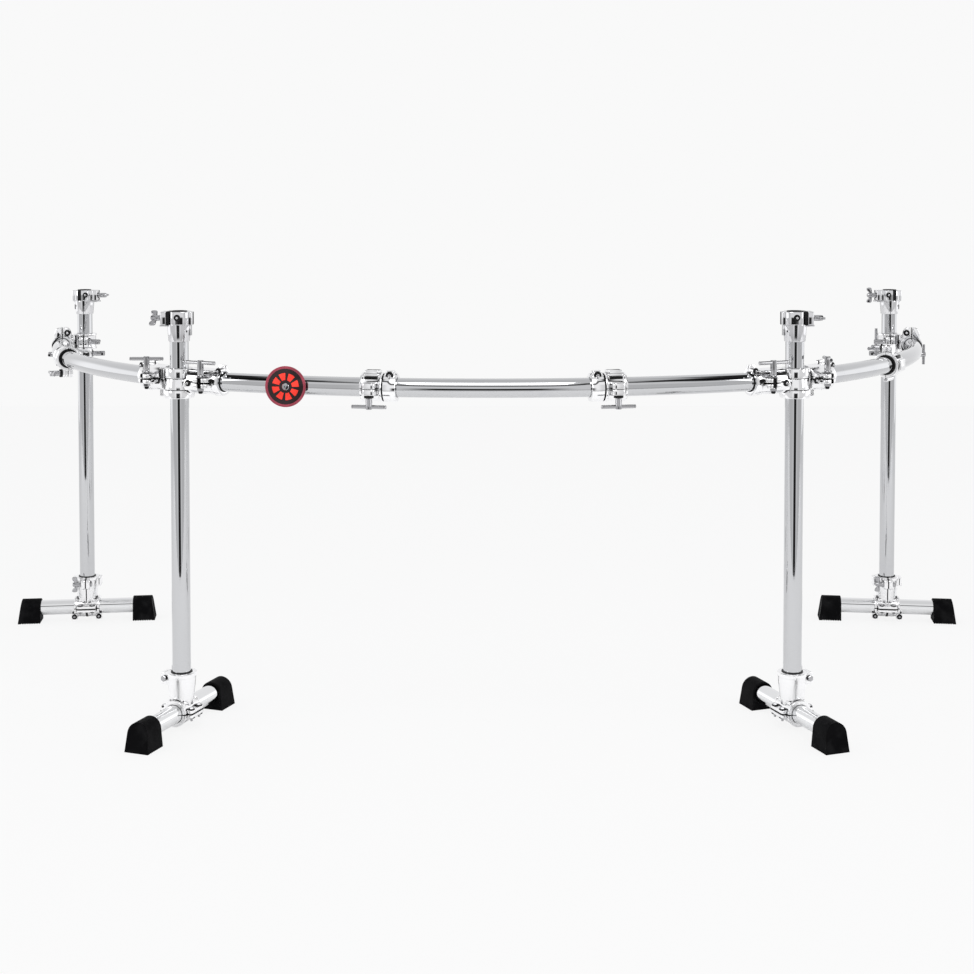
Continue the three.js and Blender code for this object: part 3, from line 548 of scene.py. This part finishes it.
def tee_bolt(stem, shank, nut_at=None, grip=35.0):
    """A tee bolt: shank, washer, flange and stem on Z, with a round handle through the stem that
    reaches grip to both sides."""
    half_handle = [(0, 3.8), (grip - 4.6, 3.8), (grip - 4.2, 3.2), (grip - 3.2, 3.2), (grip - 2.8, 3.8),
                   (grip - 0.8, 3.8), (grip, 2.9)]
    handle = [(r, -z) for z, r in half_handle[:0:-1]] + [(r, z) for z, r in half_handle[1:]]
    parts = [
        turned([(3.6, -shank), (4, 0.4 - shank), (4, 0.3)], 24),
        turned([(8.6, 0.3), (9, 0.6), (9, 1.2), (8.6, 1.5)], 36),
        turned([(7.4, 1.5), (7.9, 2), (7.9, 3), (6.8, 4.2), (6.1, 5.5), (6.1, 8.5), (6.5, 9.5),
                (6.5, stem - 1), (5.6, stem)], 36),
        move(lay(turned(handle, 28), "x"), z=stem - 5),
    ]
    if nut_at is not None:
        parts.append(nut(7.6, nut_at - 6, nut_at))
    return parts


def plastic(name, colour, roughness, bump, gloss):
    """Moulded plastic: a fine spark-eroded texture with a few duller patches."""
    material = bpy.data.materials.new(name)
    material.use_nodes = True
    f = Finish(material.node_tree)
    place = f.add("ShaderNodeTexCoord", out="Object")
    fine = f.noise(place, 1400.0, 2.0)
    patch = f.noise(place, 40.0, 4.0)
    relief = f.add("ShaderNodeBump", {}, {"Height": fine, "Strength": bump, "Distance": 0.0004})
    paler = *(1.35 * c + 0.004 for c in colour), 1
    tone = f.mix(f.step(patch, 0.4, 0.7), (*colour, 1), paler)
    skin = f.add("ShaderNodeBsdfPrincipled", {}, {
        "Base Color": tone, "Roughness": roughness + 0.15 * f.step(patch, 0.45, 0.75), "Normal": relief,
        "Specular IOR Level": gloss})
    f.add("ShaderNodeOutputMaterial", sockets={"Surface": skin})
    return material


nylon = plastic("black_nylon", (0.006, 0.006, 0.0065), 0.38, 0.15, 0.15)
middle_band = [(-19.5, 3.5)]
fork_bands = [(4.5, 24.0), (-37.5, -20.5)]
fork_neck = [brick((31, 46), (-17, 17), (-37, 23.6), 1.5, 1.5)]
for side, sign in (("left", -1), ("right", 1)):
    post_x, post_y = posts[f"front_{side}"]
    bar_turn = -front_sweep if sign < 0 else math.pi + front_sweep
    wing_turn = math.pi - wing_heading if sign < 0 else wing_heading
    handle_turn = wing_heading if sign < 0 else math.pi / 2 - wing_heading
    for name, turn, bands, bulge, ear_x, neck, body, grip_turn in (
            (f"front_{side}_bar", bar_turn, middle_band, sign, bar_ear, [], "front_frame", 0),
            (f"front_{side}_wing", wing_turn, fork_bands, -sign, wing_ear, fork_neck, f"{side}_wing",
             handle_turn)):
        at = seat(post_x, post_y, bar_height, turn)
        parts = tee_parts(bands, bulge, ear_x, neck)
        piece(f"{name}_tee", parts, at, cast_chrome, body, "cast_chrome", f"{name}_clamp")
        lining = [(19.1, 40), (19.38, 40), (19.38, 110), (20.8, 110.2), (20.8, 111.6), (19.1, 111.8)]
        black = [lay(arc_part(lining), "x")]
        # The black sleeves round the tee bolt, in the ears' notch and just below the ears, are painted shade
        # of the open slot.
        for sleeve in ([(5.2, -9.4), (5.2, 9.4)], [(4.6, -15.4), (4.6, -20), (3.4, -22)]):
            black.append(move(turned(sleeve, 24), ear_x, bulge * pin_out))
        lock_key = (0, bulge, 0), lock_x + boss_aside, bulge * boss_out, lock_rise
        rivet = (0, bulge, 0.1), 101, bulge * 29.0, 3
        neck_key = (0, bulge, -0.1), 39, bulge * 26.9, -3
        black += screw_at(key_washer(6.4), *lock_key) + screw_at(key_washer(4.6), *rivet)
        black += screw_at(key_washer(7.0), *neck_key)
        # The black ribs on the neck's face are painted shade: the dark stripes between the casting's ribs.
        if bulge > 0 and neck:
            for rib_shade_x in (21.5, 27, 32.5):
                black.append(brick((rib_shade_x, rib_shade_x + 4.2), (25, 26.4), (1.6, 21.2), 0.3, 0.6))
        piece(f"{name}_bush", black, at, nylon, body, "rubber_foot")
        keys = screw_at(key_bolt(6.4, 0.34), *lock_key) + screw_at(key_bolt(7.0, 0.38), *neck_key)
        piece(f"{name}_key_bolts", keys, at, key_chrome, body, "bolt_chrome")
        grip = swung(tee_bolt(36, 20, nut_at=-20.3), (0, 0, 1), grip_turn)
        grip = moved(grip, ear_x, bulge * pin_out, tee_ear / 2)
        piece(f"{name}_tee_handle", grip, at, bolt_chrome, f"{name}_tee_bolt", "bolt_chrome",
              f"{name}_tee_bolt")

# Rear clamps: a split ring on the wing's tail and a split ring on the rear post in one casting,
# each with a tee bolt through its ears. A memory ring stands beside each on the wing's tube.
rear_spacing, ring_middle, rear_ear = 52.0, 8.0, 22.0


def key_and_washer(name, radius, share, place, at, body):
    """A key screw and its washer at one place, as two pieces."""
    piece(f"{name}_key", screw_at(key_bolt(radius, share), *place), at, key_chrome, body, "bolt_chrome")
    piece(f"{name}_washer", screw_at(key_washer(radius), *place), at, nylon, body, "rubber_foot")


for side, sign in (("left", -1), ("right", 1)):
    x, y, angle = bar_place(wing_lines[side], wing_reach)
    at = seat(x, y, bar_height, angle)
    post_at = sign * rear_spacing
    bar_ring = rounded([(ring_bore, -22), (29, -22), (29, -17), (27.4, -16), (27.4, 16), (29, 17), (29, 22),
                        (ring_bore, 22)], [0.5, 1.5, 1, 1, 1, 1, 1.5, 0.5], 3)
    post_ring = rounded([(ring_bore, -12), (29, -12), (29, -7.5), (27.6, -6.5), (27.6, 22.5), (29, 23.5),
                         (29, 28), (ring_bore, 28)], [0.5, 1.5, 1, 1, 1, 1, 1.5, 0.5], 3)
    gap = math.asin(1.3 / 23)
    parts = [
        split_ring(bar_ring, -math.pi / 2, 2.6),
        move(arc_part(post_ring, math.pi + gap, 3 * math.pi - gap, 56), y=post_at),
        brick((-20, 20), sorted((sign * 23, sign * 29)), (-11.5, 23.5), 2.0, 2.0),
        brick((-27, 4), sorted((post_at - sign * 20, post_at + sign * 19)), (-33, -11), 1.5, 6.0),
    ]
    ears = swung(ear_pair(28, 21, 46, 8, rear_ear, 2.6), (1, 0, 0), -math.pi / 2)
    parts += ears + moved(swung(ears, (0, 1, 0), math.pi / 2), y=post_at, z=ring_middle)
    piece(f"rear_{side}_double_ring", parts, at, cast_chrome, f"{side}_wing", "cast_chrome",
          f"rear_{side}_clamp")
    handle_turn = 0 if sign < 0 else math.pi / 2
    grip = swung(tee_bolt(30, 22, nut_at=-22.3), (0, 0, 1), handle_turn)
    grip = swung(grip, (1, 0, 0), -sign * math.pi / 2)
    grip = moved(grip, -pin_out, post_at + sign * rear_ear / 2, ring_middle)
    piece(f"rear_{side}_tee_handle", grip, at, bolt_chrome, f"rear_{side}_tee_bolt", "bolt_chrome",
          f"rear_{side}_tee_bolt")
    outer = swung(tee_bolt(30, 22, nut_at=-22.3, grip=26.0), (0, 0, 1), handle_turn)
    outer = moved(swung(outer, (1, 0, 0), sign * math.pi / 2), 0, -sign * rear_ear / 2, -26)
    lower = swung(tee_bolt(32, 14, grip=24.0), (1, 0, 0), -sign * math.pi / 2)
    outer += moved(lower, -12, post_at + sign * 19, -24)
    piece(f"rear_{side}_outer_handle", outer, at, bolt_chrome, f"{side}_wing", "bolt_chrome")
    x, y, angle = bar_place(wing_lines[side], wing_reach - 37)
    ring_at = seat(x, y, bar_height, angle)
    ring = lock_parts(math.pi / 2, 22, 40)
    for way in (1, -1):
        plate = rounded([(way * 1.3, 24), (way * 20, 14), (way * 21, 36), (way * 12, 47), (way * 1.3, 47)],
                        [0.5, 3, 8, 8, 2], 5)
        ring.append(lay(slab(plate, -11, 11, 2.0), "x"))
    piece(f"{side}_wing_memory_ring", ring, ring_at, cast_chrome, f"{side}_wing", "cast_chrome")
    key_place = (-1, 0, 0), -11.2, sign * 12.5, 33
    key_and_washer(f"{side}_wing_memory", 8, 0.42, key_place, ring_at, f"{side}_wing")
    x, y, angle = bar_place(wing_lines[side], wing_reach + wing_tail)
    cap = turned([(16.9, -14), (16.9, 0.1), (18.9, 0.2), (18.9, 2.2), (16, 4.4), (9, 5.6), (1, 6)], 40)
    piece(f"{side}_wing_end_cap", [lay(cap, "x")], seat(x, y, bar_height, angle), nylon, f"{side}_wing",
          "rubber_foot")

# Hinged clamps for the accessories: an upper half with a flat boss, a jaw on a hinge pin, and a
# tee bolt that closes them. The two on the front bar lean on memory rings.
hinge_out, jaw_face = 33.0, -12.0
half_ring = rounded([(19.85, -22), (29, -22), (29, -17.6), (27.3, -16.6), (27.3, 16.6), (29, 17.6),
                     (29, 22), (19.85, 22)], [0.5, 1.5, 1, 1, 1, 1, 1.5, 0.5], 3)


def frame_of(origin, along, ears, up):
    """A frame from its origin and three directions, millimetres to metres."""
    return np.stack([np.asarray(v, float) / 1000 for v in (along, ears, up, origin)], -1)


def knuckle(low, high):
    """A hinge knuckle on the pin, between two places along the clamp."""
    profile = [(2.75, low), (5.0, low), (5.6, low + 0.6), (5.6, high - 0.6), (5.0, high), (2.75, high)]
    return move(lay(turned(profile, 32, loop=True), "x"), y=-hinge_out)


def hinged_clamp(name, at, body, flanges):
    """A hinged clamp in its own frame. flanges names the ends, -1 and 1, where its liner has one."""
    ears = ear_pair(26, 21, 45.7, 8, 24, 0.8)
    upper = [split_ring(half_ring, 0, 0.8, math.pi), ears[0], knuckle(-22, -8), knuckle(8, 22)]
    upper.append(brick((-15, 15), (-13, 13), (26.5, 34), 1.5, 3.0))
    upper.append(brick((-17, 17), (-15, 15), (20, 27.6), 1.0, 4.0))
    piece(f"{name}_upper", upper, at, cast_chrome, body, "cast_chrome", f"{name}_clamp")
    pin = lay(turned([(2.2, -23.6), (3.6, -23.2), (3.9, -22.2), (2.4, -22.1), (2.4, 22.1), (3.9, 22.2),
                      (3.6, 23.2), (2.2, 23.6)], 28), "x")
    piece(f"{name}_pin", [move(pin, y=-hinge_out)], at, bolt_chrome, body, "bolt_chrome")
    liner = [(19.15, -22.6), (19.75, -22.6), (19.75, 22.6), (19.15, 22.6)]
    # The black brick under the boss is painted shade: it stands in for the shadow under the boss's overhang.
    black = [lay(arc_part(liner), "x"), brick((-13, 13), (12, 21.6), (19, 22.8), 0.5, 1.0)]
    for end in flanges:
        flange = [(19.2, end * 21.8), (22.6, end * 21.8), (22.6, end * 24.0), (19.2, end * 24.0)]
        black.append(lay(arc_part(flange), "x"))
    washer = turned([(9.1, -5.6), (9.5, -5), (9.6, -0.1), (9.1, -0.1)], 32, loop=True)
    black.append(move(washer, 0, pin_out, jaw_face))
    piece(f"{name}_liner", black, at, nylon, body, "rubber_foot")
    lower = [split_ring(half_ring, math.pi, 0.8, math.pi), ears[1], knuckle(-7.7, 7.7)]
    lower += [brick((-7.4, 7.4), (-hinge_out, -26), (-5.4, -0.6), 1.0, 1.0)]
    piece(f"{name}_lower", lower, at, cast_chrome, f"{name}_jaw", "cast_chrome", f"{name}_jaw")
    grip = moved(swung(tee_bolt(28, 20), (1, 0, 0), math.pi), 0, pin_out, jaw_face)
    piece(f"{name}_tee_handle", grip, at, bolt_chrome, f"{name}_tee_bolt", "bolt_chrome",
          f"{name}_tee_bolt")


def lock_place(toward, out=28.5):
    """Where the key screw sits on a memory ring's lug: square to its slot, on the side that
    follows it from +Y to +Z."""
    way = toward + math.pi / 2
    y = out * math.cos(toward) + lock_lug / 2 * math.cos(way)
    z = out * math.sin(toward) + lock_lug / 2 * math.sin(way)
    return (0, math.cos(way), math.sin(way)), 0, y, z


def bow_place(across):
    """A place on the front bar's bend, by its distance from the middle across the rack."""
    return bar_place(front_line, front_length / 2 + bend_radius * math.asin(across / bend_radius))


up_way, down_way = np.array([0.0, 0, 1]), np.array([0.0, 0, -1])
lock_toward = math.radians(105)
for side, sign, clamp_across, lock_across in (("left", -1, -225.0, -189.2), ("right", 1, 251.0, 215.2)):
    x, y, angle = bow_place(clamp_across)
    audience = np.array([math.sin(angle), -math.cos(angle), 0])
    at = frame_of((x, y, bar_height), np.cross(audience, up_way), audience, up_way)
    hinged_clamp(f"front_{side}_inner", at, f"front_{side}_inner_clamp", [sign])
    x, y, angle = bow_place(lock_across)
    at = seat(x, y, bar_height, angle)
    piece(f"{side}_memory_ring", lock_parts(lock_toward), at, cast_chrome, "front_frame", "cast_chrome")
    key_and_washer(f"{side}_memory", 7.6, 0.48, lock_place(lock_toward), at, "front_frame")
for side, s, ears, flanges in (("left", 600.0, down_way, [1, -1]), ("right", 425.0, up_way, [-1, 1])):
    x, y, angle = bar_place(wing_lines[side], s)
    boss_way = np.array([math.sin(angle), -math.cos(angle), 0])
    at = frame_of((x, y, bar_height), np.cross(ears, boss_way), ears, boss_way)
    hinged_clamp(f"{side}_wing_multi", at, f"{side}_wing_multi_clamp", flanges)

# Socket collars on the posts: a tapered sleeve under a block that is lined with black nylon, and
# beside it the plate that the wing bolt draws in.
block_low, block_high = 841.0, 868.0
bolt_height, key_height, face_out = 854.5, 856.0, 24.0
socket_chrome = chrome("socket_chrome", (0.70, 0.70, 0.71), 0.05, 0.04, (1.0, 1.0, 1.0), 0.006)


def pierced(left, right, half_y, power, bore, low, high, edge=1.4, steps=3, sides=96):
    """A block with a round bore. Its outline is the superellipse |x/a|^n + |y/b|^n = 1, with one a
    on the left of the bore and another on the right."""
    a = np.arange(sides) * (full_turn / sides)
    half_x = np.where(np.cos(a) < 0, left, right)
    reach_out = (np.abs(np.cos(a) / half_x) ** power + np.abs(np.sin(a) / half_y) ** power) ** (-1 / power)
    t = np.linspace(0, math.pi / 2, steps + 1)
    inset, rise = edge * (1 - np.sin(t)), edge * (1 - np.cos(t))
    outer = [(reach_out - i, low + r) for i, r in zip(inset, rise)]
    outer += [(reach_out - i, high - r) for i, r in zip(inset[::-1], rise[::-1])]
    inner_wall = [(0 * a + bore + 0.4, high), (0 * a + bore, high - 0.4), (0 * a + bore, low + 0.4),
                  (0 * a + bore + 0.4, low)]
    rows = [np.stack([r * np.cos(a), r * np.sin(a), 0 * a + z], -1) for r, z in outer + inner_wall]
    return shell(np.stack(rows), loop=True)


def wing_bolt(shank, nut_at=None):
    """A wing bolt: shank and flange on Z and two lobes, thin plates with a thicker rim."""
    parts = [
        turned([(3.1, -shank), (3.5, 0.4 - shank), (3.5, 0.3)], 24),
        turned([(6.8, 0.3), (7.4, 0.7), (7.4, 2.2), (6.2, 3.4), (5.8, 6), (6.1, 9), (5.9, 18), (4.8, 21.4),
                (2.4, 22.6)], 36),
    ]
    for way in (1, -1):
        outline = rounded([(2, 9.5), (12, 9.8), (19.8, 10.5), (20, 24), (12, 23.4), (7.5, 17.5), (2, 16.5)],
                          [0.5, 5, 5.5, 6, 5, 4, 0.5], 6) * (way, 1)
        parts.append(swing(slab(outline, -2.4, 2.4, 1.7, 4), (1, 0, 0), math.pi / 2))
    if nut_at is not None:
        parts.append(nut(6.6, nut_at - 5, nut_at))
    return parts


lobe_turns = {"front_left": 45, "front_right": 90, "rear_left": 90, "rear_right": 0}
for corner, (x, y) in posts.items():
    left, front = corner.endswith("left"), corner.startswith("front")
    face = (-1 if left else 1) * (1 if front else -1)
    at = seat(x, y, 0, 0 if face < 0 else math.pi)
    sleeve = rounded([(19.3, 806), (21.4, 806), (24.5, block_low + 0.5), (19.3, block_low + 0.5)],
                     [0.6, 1.2, 0.5, 0.5], 3)
    joint_end, key_x = (-8, 0.5) if front else (17, -8)
    parts = [
        arc_part(sleeve, steps=64),
        pierced(17.2, 23.5, 24.2, 3.4, 15.6, block_low, block_high),
        brick((-36, -23.6), (-17, 17), (block_low, block_high), 1.6, 2.5),
        brick((-24.5, -14), sorted((-face * 17, face * joint_end)), (block_low, block_high), 1.0, 1.5),
        brick((-39, -15), (-16, 16), (block_low - 3.6, block_low - 0.2), 1.2, 4.0),
        brick((17, 28.6), (-13, 13), (block_low - 1, block_high - 0.6), 1.4, 2.5),
        brick((21, 25.8), (-6, 6), (818, block_low + 1), 1.2, 2.0),
    ]
    piece(f"{corner}_socket", parts, at, socket_chrome, f"{corner}_upright", "cast_chrome",
          f"{corner}_collar")
    lining = rounded([(12.8, 826), (15.55, 826), (15.55, block_high + 0.1), (17.4, block_high + 0.2),
                      (17.2, block_high + 1.7), (12.8, block_high + 1.7)], [0.3, 0.3, 0.1, 0.6, 0.6, 0.6], 2)
    strip_heights = block_low + 0.2, block_high + 0.7
    if front:
        strip = brick((-23.5, -16.4), (-18, 18), strip_heights, 0.6, 1.4)
    else:
        strip = brick((3, 12), sorted((face * 17, face * 24.8)), strip_heights, 0.4, 0.8)
    # The black strip in the seam beside the tab is painted shade of the groove.
    painted_seam_shade = brick((14.6, 16.8), sorted((face * 10, face * 21.4)), (block_low + 1, block_high - 0.4), 0.3, 0.5)
    black = [arc_part(lining), strip, painted_seam_shade]
    rivet = [turned([(2.7, -1), (2.7, 0.6), (1.6, 1.3)], 20)]
    for rivet_x, rivet_y, rivet_height in ((17, 14.3, 828), (12, 17.4, 820)):
        black += screw_at(rivet, (0.45, face, 0), rivet_x, face * rivet_y, rivet_height)
    key_place = (0, face, 0), key_x, face * face_out, key_height
    black += screw_at(key_washer(6.8), *key_place)
    piece(f"{corner}_lining", black, at, nylon, f"{corner}_upright", "rubber_foot")
    keys = screw_at(key_bolt(6.8, 0.42), *key_place)
    piece(f"{corner}_socket_keys", keys, at, key_chrome, f"{corner}_upright", "bolt_chrome")
    grip = swung(wing_bolt(16), (0, 0, 1), math.radians(lobe_turns[corner]))
    grip = moved(swung(grip, (0, 1, 0), -math.pi / 2), -36, 0, bolt_height)
    piece(f"{corner}_collar_wings", grip, at, bolt_chrome, f"{corner}_collar_bolt", "bolt_chrome",
          f"{corner}_collar_bolt")

# Legs: a casting with an upright socket for the post over a strap round the foot tube, and a
# tube with an arched rubber foot on each end.
leg_turns = {"front_left": math.radians(-110), "front_right": math.radians(-70),
             "rear_left": math.radians(187), "rear_right": math.radians(-7)}
axis_height, half_tube = 36.0, 154.0
wing_height, wing_out, leg_ear = 102.0, 35.0, 22.0
half_flange, bolt_out = 8.0, 31.5
foot_chrome = chrome("foot_chrome", (0.80, 0.805, 0.81), 0.05, 0.03, (1.0, 1.0, 1.0), 0.003)
leg_casting = chrome("leg_casting", (0.92, 0.92, 0.925), 0.24, 0.06, (1.0, 1.0, 1.0), 0.007)
rubber = plastic("black_rubber", (0.003, 0.003, 0.0034), 0.5, 0.35, 0.02)


def rubber_foot():
    """An arched block round the tube's end. Its rings are the arch's outline at growing x; the
    outer end slopes as x = 21 - 0.15 z, and grooves of 1.5 mm cross the sole every 6 mm."""
    t = np.linspace(0, math.pi, 33)[1:-1]
    arch = np.stack([23.5 * np.cos(t), 36.5 + 23.5 * np.sin(t)], -1)
    right = np.stack([np.linspace(27, 23.6, 8), np.linspace(0, 36.5, 8)], -1)
    sole = np.stack([np.linspace(-27, 27, 12), np.zeros(12)], -1)[1:-1]
    outline = np.concatenate([sole, right, arch, right[::-1] * (-1, 1)])
    middle = np.array([0, axis_height])
    spoke = outline - middle
    spoke /= np.linalg.norm(spoke, axis=1)[:, None]

    def ring(x_low, inset, lift):
        section = outline - inset * spoke
        section[:, 1] = np.maximum(section[:, 1], lift)
        x_at = np.minimum(x_low, 21 - 0.15 * section[:, 1] - 0.6 * inset)
        return np.stack([x_at, section[:, 0], section[:, 1]], -1)

    def bore(x_at, radius):
        wall = middle + radius * spoke
        return np.stack([0 * wall[:, 0] + x_at, wall[:, 0], wall[:, 1]], -1)

    rows = [bore(-2, 19.2), bore(-34.5, 19.2), bore(-36, 20.0), ring(-36, 1.2, 0.4), ring(-35.4, 0.4, 0),
            ring(-34.5, 0, 0)]
    for start in np.arange(-32, 16, 6.0):
        rows += [ring(start, 0, 0), ring(start + 0.3, 0, 1.5), ring(start + 2.1, 0, 1.5),
                 ring(start + 2.4, 0, 0)]
    rows += [ring(19, 0, 0), ring(30, 0, 0), ring(30, 1.0, 0.2), ring(30, 2.4, 0.6)]
    return shell(np.stack(rows))


for corner, (x, y) in posts.items():
    left, front = corner.endswith("left"), corner.startswith("front")
    facing = 1 if left else -1
    ears = -facing if front else facing
    bolt_way = -1 if front else facing
    at = seat(x, y, 0, leg_turns[corner])
    toward = 0 if ears > 0 else math.pi
    gap = math.asin(1.2 / 23)
    start = math.pi / 2 if ears > 0 else -math.pi / 2
    socket = rounded([(19.45, 50), (24.2, 50), (29.4, 107), (30.4, 108.5), (30.4, 117), (19.45, 117)],
                     [0.5, 0.5, 1, 1, 1.8, 0.8], 3)
    strap = rounded([(19.35, -32), (27.4, -32), (27.4, -27), (26, -26), (26, 26), (27.4, 27), (27.4, 32),
                     (19.35, 32)], [0.5, 1.2, 0.8, 0.8, 0.8, 0.8, 1.2, 0.5], 3)
    liner_ends = [(19.15, 60), (19.4, 60), (19.4, 117), (22.2, 117.1), (22.2, 118.2), (19.15, 118.2)]
    black = [arc_part(liner_ends), brick((-21, 21), (-17, 17), (59, 61.8), 0.4, 4.0)]
    parts = [
        arc_part(socket, start + gap, start + full_turn - gap, 64),
        move(split_ring(strap, 0, 2.4, math.pi), z=axis_height),
        move(split_ring(strap, math.pi, 2.4, math.pi), z=axis_height),
        slab(rounded([(-24, -21), (24, -21), (20, 21), (-20, 21)], 6, 4), 53, 60, 1.5),
    ]
    for way in (1, -1):
        root, rim = way * 22, way * 38
        flange = rounded([(-25, root), (25, root), (25, rim), (-25, rim)], [1, 1, 6, 6], 6)
        parts += [slab(flange, axis_height + 1.2, axis_height + half_flange),
                  slab(flange, axis_height - half_flange, axis_height - 1.2)]
        black.append(slab(flange + (0, way * 0.6), axis_height - 1.3, axis_height + 1.3, 0.3))
    ear_plates = swung(ear_pair(26, 21, 44, 8, leg_ear, 2.4), (0, 1, 0), math.pi / 2)
    parts += moved(swung(ear_plates, (0, 0, 1), toward), z=wing_height)
    keys = []
    if not front:
        tongue = [(25.4, -2.6), (26.8, -2.6), (26.8, 2.6), (25.4, 2.6)]
        middle = math.radians(-35 if facing > 0 else 215)
        tongue_arc = lay(arc_part(tongue, middle - math.radians(40), middle + math.radians(40), 20), "x")
        black.append(move(tongue_arc, z=axis_height))
        for kx in (-31, 31):
            low_lug = (kx - 7.5, kx + 7.5), sorted((facing * 13, facing * 24))
            parts.append(brick(*low_lug, (7.5, 22), 1.5, 2.0))
            key_place = (0, facing, 0), kx, facing * 24, 14.6
            black += screw_at(key_washer(6.8), *key_place)
            keys += screw_at(key_bolt(6.8, 0.45), *key_place)
            high_lug = sorted((kx * 0.75, kx * 1.2)), sorted((facing * -10, facing * 14))
            parts.append(brick(*high_lug, (93, 115.5), 1.5, 3.0))
            strip = sorted((kx * 0.98, kx * 1.04)), sorted((facing * 12, facing * 14.5))
            black.append(brick(*strip, (96, 113), 0.3, 0.5))
    piece(f"{corner}_foot_socket", parts, at, leg_casting, f"{corner}_leg", "cast_chrome",
          f"{corner}_leg_clamp")
    for kx in (-15, 15):
        for ky in (-bolt_out, bolt_out):
            keys += screw_at(key_bolt(7), (0, 0, -1), kx, ky, axis_height - half_flange)
            keys.append(move(nut(5.6, 0, 4.5), kx, ky, axis_height + half_flange))
            black += screw_at(key_washer(7.2), (0, 0, -1), kx, ky, axis_height - half_flange - 0.4)
            washer = turned([(7.2, 0), (7.2, 1.2), (5.2, 1.2), (5.2, 0)], 28, loop=True)
            black.append(move(washer, kx, ky, axis_height + half_flange - 0.1))
    piece(f"{corner}_strap_keys", keys, at, bolt_chrome, f"{corner}_leg", "bolt_chrome")
    piece(f"{corner}_strap_washers", black, at, nylon, f"{corner}_leg", "rubber_foot")
    tube = move(lay(straight_tube(-half_tube, half_tube), "x"), z=axis_height)
    piece(f"{corner}_leg_tube", [tube], at, foot_chrome, f"{corner}_leg", "tube_chrome",
          f"{corner}_foot_tube")
    for end, turn in (("toe", 0), ("heel", math.pi)):
        foot = swing(move(rubber_foot(), half_tube), (0, 0, 1), turn)
        piece(f"{corner}_{end}_pad", [foot], at, rubber, f"{corner}_leg", "rubber_foot",
              f"{corner}_{end}_foot")
    grip = swung(wing_bolt(22, nut_at=-22.3), (0, 1, 0), bolt_way * math.pi / 2)
    grip = moved(grip, bolt_way * leg_ear / 2, ears * wing_out, wing_height)
    piece(f"{corner}_leg_wings", grip, at, bolt_chrome, f"{corner}_leg_bolt", "bolt_chrome",
          f"{corner}_leg_bolt")

# The badge: a round black plate with a red rim and eight plain red wedges round a grey screw, on
# a saddle that snaps round the front bar.
badge_across, stand_off, badge_turn = -397.0, 5.5, math.radians(-5)
x, y, angle = bow_place(badge_across)
at = seat(x, y, bar_height)


def faced(parts):
    """Turns parts from +Z to the audience and a little with the bar, and stands them off so far
    that the plate's edge clears the bar where it bows out."""
    upright = swung(moved(parts, z=stand_off), (1, 0, 0), math.pi / 2)
    return swung(upright, (0, 0, 1), badge_turn)


badge_black = plastic("badge_black", (0.016, 0.008, 0.009), 0.22, 0.05, 0.3)
badge_red = plastic("badge_red", (0.75, 0.035, 0.02), 0.3, 0.05, 0.3)
badge_rim = plastic("badge_rim", (0.24, 0.03, 0.05), 0.25, 0.05, 0.4)
plate = turned([(1, 23.4), (9, 23.4), (36, 24), (40.2, 24.2), (40.6, 25), (40.6, 28.4), (36, 28.8),
                (1, 28.8)], 96)
clip = rounded([(19.6, -10), (22.5, -10), (22.5, 10), (19.6, 10)], [0.4, 1, 1, 0.4], 3)
clip_ring = swing(split_ring(clip, math.pi, 14), (0, 0, 1), angle)
stem = faced([turned([(13, 14.3), (13, 21), (15.6, 23.6), (15.6, 24.2)], 40)])
piece("badge_plate", faced([plate]) + stem + [clip_ring], at, badge_black, "front_frame", "badge_face",
      "badge")
rim_outline = [(35.6, 28), (40.9, 27.2), (40.9, 29.6), (38.4, 30), (35.6, 29.2)]
rim = rounded(rim_outline, [0.3, 0.3, 1, 1.4, 0.4], 4)
piece("badge_ring", faced([arc_part(rim, steps=96)]), at, badge_rim, "front_frame", "badge_face")
wedge = rounded([(13, 28.4), (27, 28.4), (27, 29.6), (13, 29.6)], [0.2, 0.2, 0.6, 0.6], 3)
starts = [k * full_turn / 8 for k in range(8)]
wedges = [arc_part(wedge, start, start + math.radians(30), 12) for start in starts]
piece("badge_wedges", faced(wedges), at, badge_red, "front_frame", "badge_face")
hub = turned([(7.2, 28.4), (7.2, 30), (6.2, 31), (2.4, 31.4), (2.2, 30.4), (0.5, 30.3)], 40)
piece("badge_screw", faced([hub]), at, bolt_chrome, "front_frame", "bolt_chrome")
